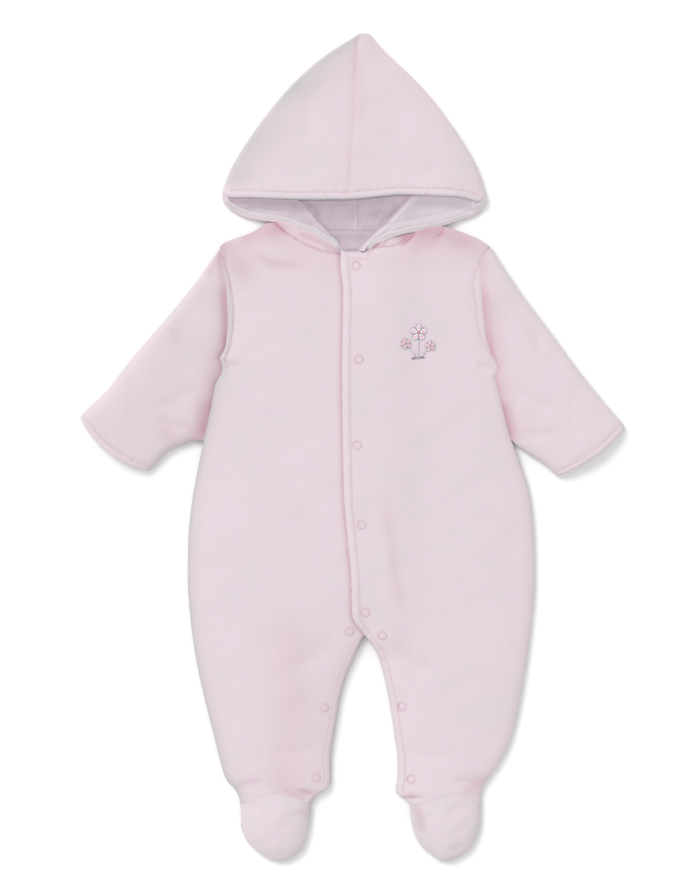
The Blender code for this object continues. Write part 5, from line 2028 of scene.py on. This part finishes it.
@dataclass
class Snap:
    """An open-ring snap: a thin round ring whose prongs grip the cloth that domes up inside it."""

    name: str
    radius: float = 3.6
    tube: float = 0.42
    turns: int = 48
    rolls: int = 12
    settle: float = 0.7
    stand: float = 0.28

    @property
    def centre(self) -> tuple[float, float]:
        """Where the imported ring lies."""
        low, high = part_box(self.name)
        return (low.x + high.x) / 2 / MM, (low.y + high.y) / 2 / MM

    def build(self, brass: Material, faces: dict[Side, Front]) -> Object:
        """Makes the ring: a circle carried round a circle, laid on the front's face.

        Args:
            brass: The ring's finish.
            faces: The fronts, on one of which it lies.

        Returns:
            The ring.
        """
        x0, y0 = self.centre
        side = Side.LEFT if x0 > faces[Side.LEFT].inner(np.array([y0]))[0] else Side.RIGHT
        turn = np.linspace(0, 2 * np.pi, self.turns + 1)[:-1, None]
        roll = np.linspace(0, 2 * np.pi, self.rolls + 1)[None, :-1]
        x = x0 + (self.radius + self.tube * np.cos(roll)) * np.cos(turn)
        y = y0 + (self.radius + self.tube * np.cos(roll)) * np.sin(turn)
        rest = faces[side].faces(x0 + self.radius * np.cos(turn), y0 + self.radius * np.sin(turn))[0]
        level = rest.mean() + self.settle * (rest - rest.mean())
        z = level + self.stand + self.tube * np.sin(roll)
        corner = np.arange(self.turns * self.rolls).reshape(self.turns, self.rolls)
        beside, beyond = np.roll(corner, -1, axis=1), np.roll(corner, -1, axis=0)
        quads = np.stack([corner, beyond, np.roll(beyond, -1, axis=1), beside], axis=-1).reshape(-1, 4)
        piece = Piece(f"ring_{self.name}")
        piece.add(np.stack([x, y, z], -1).reshape(-1, 3), [quads], np.zeros((corner.size, 2)))
        return piece.make(brass, "snap", self.name)


@dataclass
class Posy:
    """Satin-stitched posy on the left chest: one large and two small flowers on joined stems."""

    front: Front
    # X and Y of each flower's middle, its petals' length and its turn.
    flowers: tuple[tuple[float, ...], ...] = ((59.5, 103, 7.4, 0.0), (48, 93, 5.2, 0.35), (70, 91, 5.0, 0.2))
    foot: tuple[float, float] = (58.8, 79.0)
    thread: float = 0.22
    pink: float = 0.0
    white: float = 0.5
    grey: float = 0.9

    def lay(self, threads: Threads, start: Grid, end: Grid, dye: float, rise: float) -> None:
        """Lays threads between points on the cloth, raised by rise.

        Args:
            threads: Where the threads are gathered.
            start: First ends on the cloth, count by two.
            end: Second ends.
            dye: The threads' colour.
            rise: How far over the cloth they lie.
        """
        laid = []
        for place in (start, end):
            over = self.front.faces(place[:, 0], place[:, 1])[0]
            laid.append(np.concatenate([place, over[:, None] + rise], axis=-1))
        threads.add(laid[0], laid[1], self.thread, 0.18, dye)

    def petal(self, threads: Threads, centre: Grid, angle: float, size: float) -> None:
        """One petal: threads side by side across an egg shape that points out from the flower's middle.

        Args:
            threads: Where the threads are gathered.
            centre: The flower's middle.
            angle: Which way it points.
            size: Its length.
        """
        ahead, beside = heading(angle)
        count = max(6, round(size * 2.4))
        t = np.linspace(0.16, 0.98, count)[:, None]
        half = 0.36 * size * np.sqrt(np.maximum(1 - ((t - 0.62) / 0.46) ** 2, 0.02))
        middle = centre + ahead * size * t
        self.lay(threads, middle - beside * half, middle + beside * half + ahead * 0.25, self.white, 0.3)
        outline = np.concatenate([middle - beside * half, (middle + beside * half)[::-1]])
        outline = outline[:: max(1, round(size / 5))]
        self.lay(threads, outline[:-1], outline[1:], self.grey, 0.45)
        tip = centre + ahead * size * np.array([[0.46], [0.57], [0.68], [0.79]])
        self.lay(threads, tip - beside * 0.14 * size, tip + beside * 0.14 * size, self.pink, 0.5)

    def stem(self, threads: Threads, line: Line, dye: float) -> None:
        """A stem: short threads end to end along its line."""
        places = line.places(1.5)
        self.lay(threads, places[:-1], places[1:], dye, 0.2)

    def leaf(self, threads: Threads, root: Grid, angle: float, size: float, dye: float) -> None:
        """A leaf: slanted threads along a pointed shape, half a sine wide.

        Args:
            threads: Where the threads are gathered.
            root: Where it joins the stem.
            angle: Which way it points.
            size: Its length.
            dye: The threads' colour.
        """
        ahead, beside = heading(angle)
        t = np.linspace(0.05, 0.95, 9)[:, None]
        half = 0.24 * size * np.sin(np.pi * t)
        middle = root + ahead * size * t
        self.lay(threads, middle - beside * half, middle + beside * half + ahead * 0.5, dye, 0.3)

    def build(self, rayon: Material) -> Object:
        """Makes the posy.

        Args:
            rayon: The threads' finish.

        Returns:
            The posy.
        """
        threads = Threads("posy")
        foot = np.array(self.foot)
        for x, y, size, turn in self.flowers:
            centre = np.array([x, y])
            bow = centre * 0.45 + foot * 0.55 + [0.6, -1.2]
            self.stem(threads, Line(((x, y), tuple(bow.tolist()), self.foot)), self.grey)
            for k in range(5):
                self.petal(threads, centre, turn + math.pi / 2 + k * 2 * math.pi / 5, size)
            spin = np.linspace(0, np.pi, 5)[:-1, None]
            bar = np.concatenate([np.cos(spin), np.sin(spin)], axis=1) * 0.2 * size
            self.lay(threads, centre - bar, centre + bar, self.pink, 0.75)
        self.leaf(threads, foot + [0.3, 5.0], 0.5, 7.0, self.white)
        self.leaf(threads, foot + [-0.3, 4.0], 2.6, 7.0, self.white)
        self.leaf(threads, foot + [0.2, 2.0], -0.1, 6.0, self.grey)
        self.leaf(threads, foot + [-0.2, 1.5], 3.3, 6.0, self.grey)
        return threads.piece.make(rayon, "thread", "embroidery")


# ---- studio


@dataclass
class Studio:
    """Pale floor, soft light from the upper left and a camera straight above."""

    distance: float = 3.0
    centre: tuple[float, float] = (-0.00225, 0.0038)
    frame_height: float = 0.7974
    sensor: float = 36.0
    ambient: float = 0.86
    key_strength: float = 1.45
    key_softness: float = 0.5
    key_tilt: float = 0.75
    key_from: float = 2.3
    floor: float = 12.0

    def build(self) -> None:
        """Makes floor, lights and camera."""
        bpy.context.scene.view_settings.view_transform = "Standard"
        self.lay_floor()
        self.light()
        self.look_down()

    def lay_floor(self) -> None:
        """Lays a wide square of matt white paper just under the suit."""
        paper = bpy.data.materials.new("studio_paper")
        paper.use_nodes = True
        dressed = {"Base Color": linear("F4F4F4"), "Roughness": 1.0, "Specular IOR Level": 0.0}
        wire(paper.node_tree, paper.node_tree.nodes["Principled BSDF"], dressed)
        mesh = bpy.data.meshes.new("floor")
        half, low = self.floor, -0.0002
        sheet = [(-half, -half, low), (half, -half, low), (half, half, low), (-half, half, low)]
        mesh.from_pydata(sheet, [], [(0, 1, 2, 3)])
        mesh.materials.append(paper)
        shown("floor", mesh)

    def light(self) -> None:
        """Lights the room evenly, with a broad soft key light from the upper left."""
        world = bpy.data.worlds.new("studio")
        world.use_nodes = True
        sky = {"Color": linear("FFFFFF"), "Strength": self.ambient}
        wire(world.node_tree, world.node_tree.nodes["Background"], sky)
        bpy.context.scene.world = world
        key = bpy.data.lights.new("key", "SUN")
        key.energy = self.key_strength
        key.angle = self.key_softness
        shown("key", key).rotation_euler = (self.key_tilt, 0.0, self.key_from + math.pi / 2)

    def look_down(self) -> None:
        """Sets a camera straight above, its lens from the height of what it frames."""
        camera = shown("camera", bpy.data.cameras.new("camera"))
        camera.data.sensor_width = self.sensor
        camera.data.lens = self.sensor * (self.distance - 0.01) / self.frame_height
        camera.data.clip_end = 20.0
        camera.location = (*self.centre, self.distance)
        bpy.context.scene.camera = camera


# ---- the suit


def report(made: Object) -> None:
    """Logs a piece's triangles and half its closed surface, which for a thin shell is about its cut's area.

    Args:
        made: The piece.
    """
    mesh = made.data
    sides, area = (np.zeros(len(mesh.polygons)) for _ in range(2))
    mesh.polygons.foreach_get("loop_total", sides)
    mesh.polygons.foreach_get("area", area)
    low, high = (np.array(corner) for corner in (made.bound_box[0], made.bound_box[6]))
    size = np.round((high - low) / MM, 1)
    log.info("%-22s %6d triangles, %.4f m2, box %s", made.name, (sides - 2).sum(), area.sum() / 2, size)


def stitch(fronts: dict[Side, Front], sleeves: list[Sleeve], hoods: list[Hood], thread: Material) -> Object:
    """Makes the topstitching: rows of short threads along each seam but the right armhole, which shows none.

    Args:
        fronts: The fronts.
        sleeves: The sleeves, once built.
        hoods: The halves of the hood, once built.
        thread: The thread's finish.

    Returns:
        The topstitching.
    """
    threads = Threads("topstitching")
    for front in fronts.values():
        lines = front.seam_lines()
        for line in lines[1:] if front.side is Side.RIGHT else lines:
            places = line.places(threads.PITCH / 2)
            threads.topstitch(places, front.faces(places[:, 0], places[:, 1])[0] + 0.1)
    for sleeve in sleeves:
        threads.follow(sleeve.cuff_line(), every=4, axis=1, rise=0.1)
    for hood in hoods:
        path = hood.lip_line[::2]
        threads.follow(path[np.argsort(path[:, 0])], every=3, axis=0, rise=0.05)
    return threads.piece.make(thread, "thread")


def main() -> None:
    """Builds every piece in order."""
    logging.basicConfig(level=logging.INFO, format="%(message)s")
    own = [made for made in bpy.data.objects if made.type == "EMPTY" or made.name in frame["nodes"]]
    for loose in set(bpy.data.objects) - set(own):
        bpy.data.objects.remove(loose)
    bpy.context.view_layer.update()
    velour, jersey, brass = Velour().make(), Jersey().make(), EnamelledBrass().make()
    cotton = Thread("polyester_sewing_thread", ((0.0, "EACBD5"),)).make()
    rayon = Thread("rayon_embroidery_thread", ((0.0, "EE6F98"), (0.4, "E9E3E8"), (0.7, "9A95A0"))).make()
    level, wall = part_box("front_right")[0].z / MM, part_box("back")[1].z / MM
    body = BodyForm(level=level, wall=wall)
    names = sorted(name for name in frame["nodes"] if name.startswith("snap_"))
    snaps = [Snap(name) for name in names]
    presses = tuple(Press(*snap.centre) for snap in snaps)
    fronts = {side: Front(body, side, presses) for side in Side}
    report(Back(body).build(velour))
    for side in Side:
        report(fronts[side].build(velour))
    for side in Side:
        for made in Foot(body, side).build(velour):
            report(made)
    sleeves = [Sleeve(body, side) for side in Side]
    for sleeve in sleeves:
        report(sleeve.build(velour))
    hoods = [Hood(body, side) for side in Side]
    for hood in hoods:
        for made in hood.build(velour, jersey):
            report(made)
    report(BackLining(body).build(jersey))
    for snap in snaps:
        report(snap.build(brass, fronts))
    report(Posy(fronts[Side.LEFT]).build(rayon))
    report(stitch(fronts, sleeves, hoods, cotton))
    Studio().build()


if __name__ == "__main__":
    main()
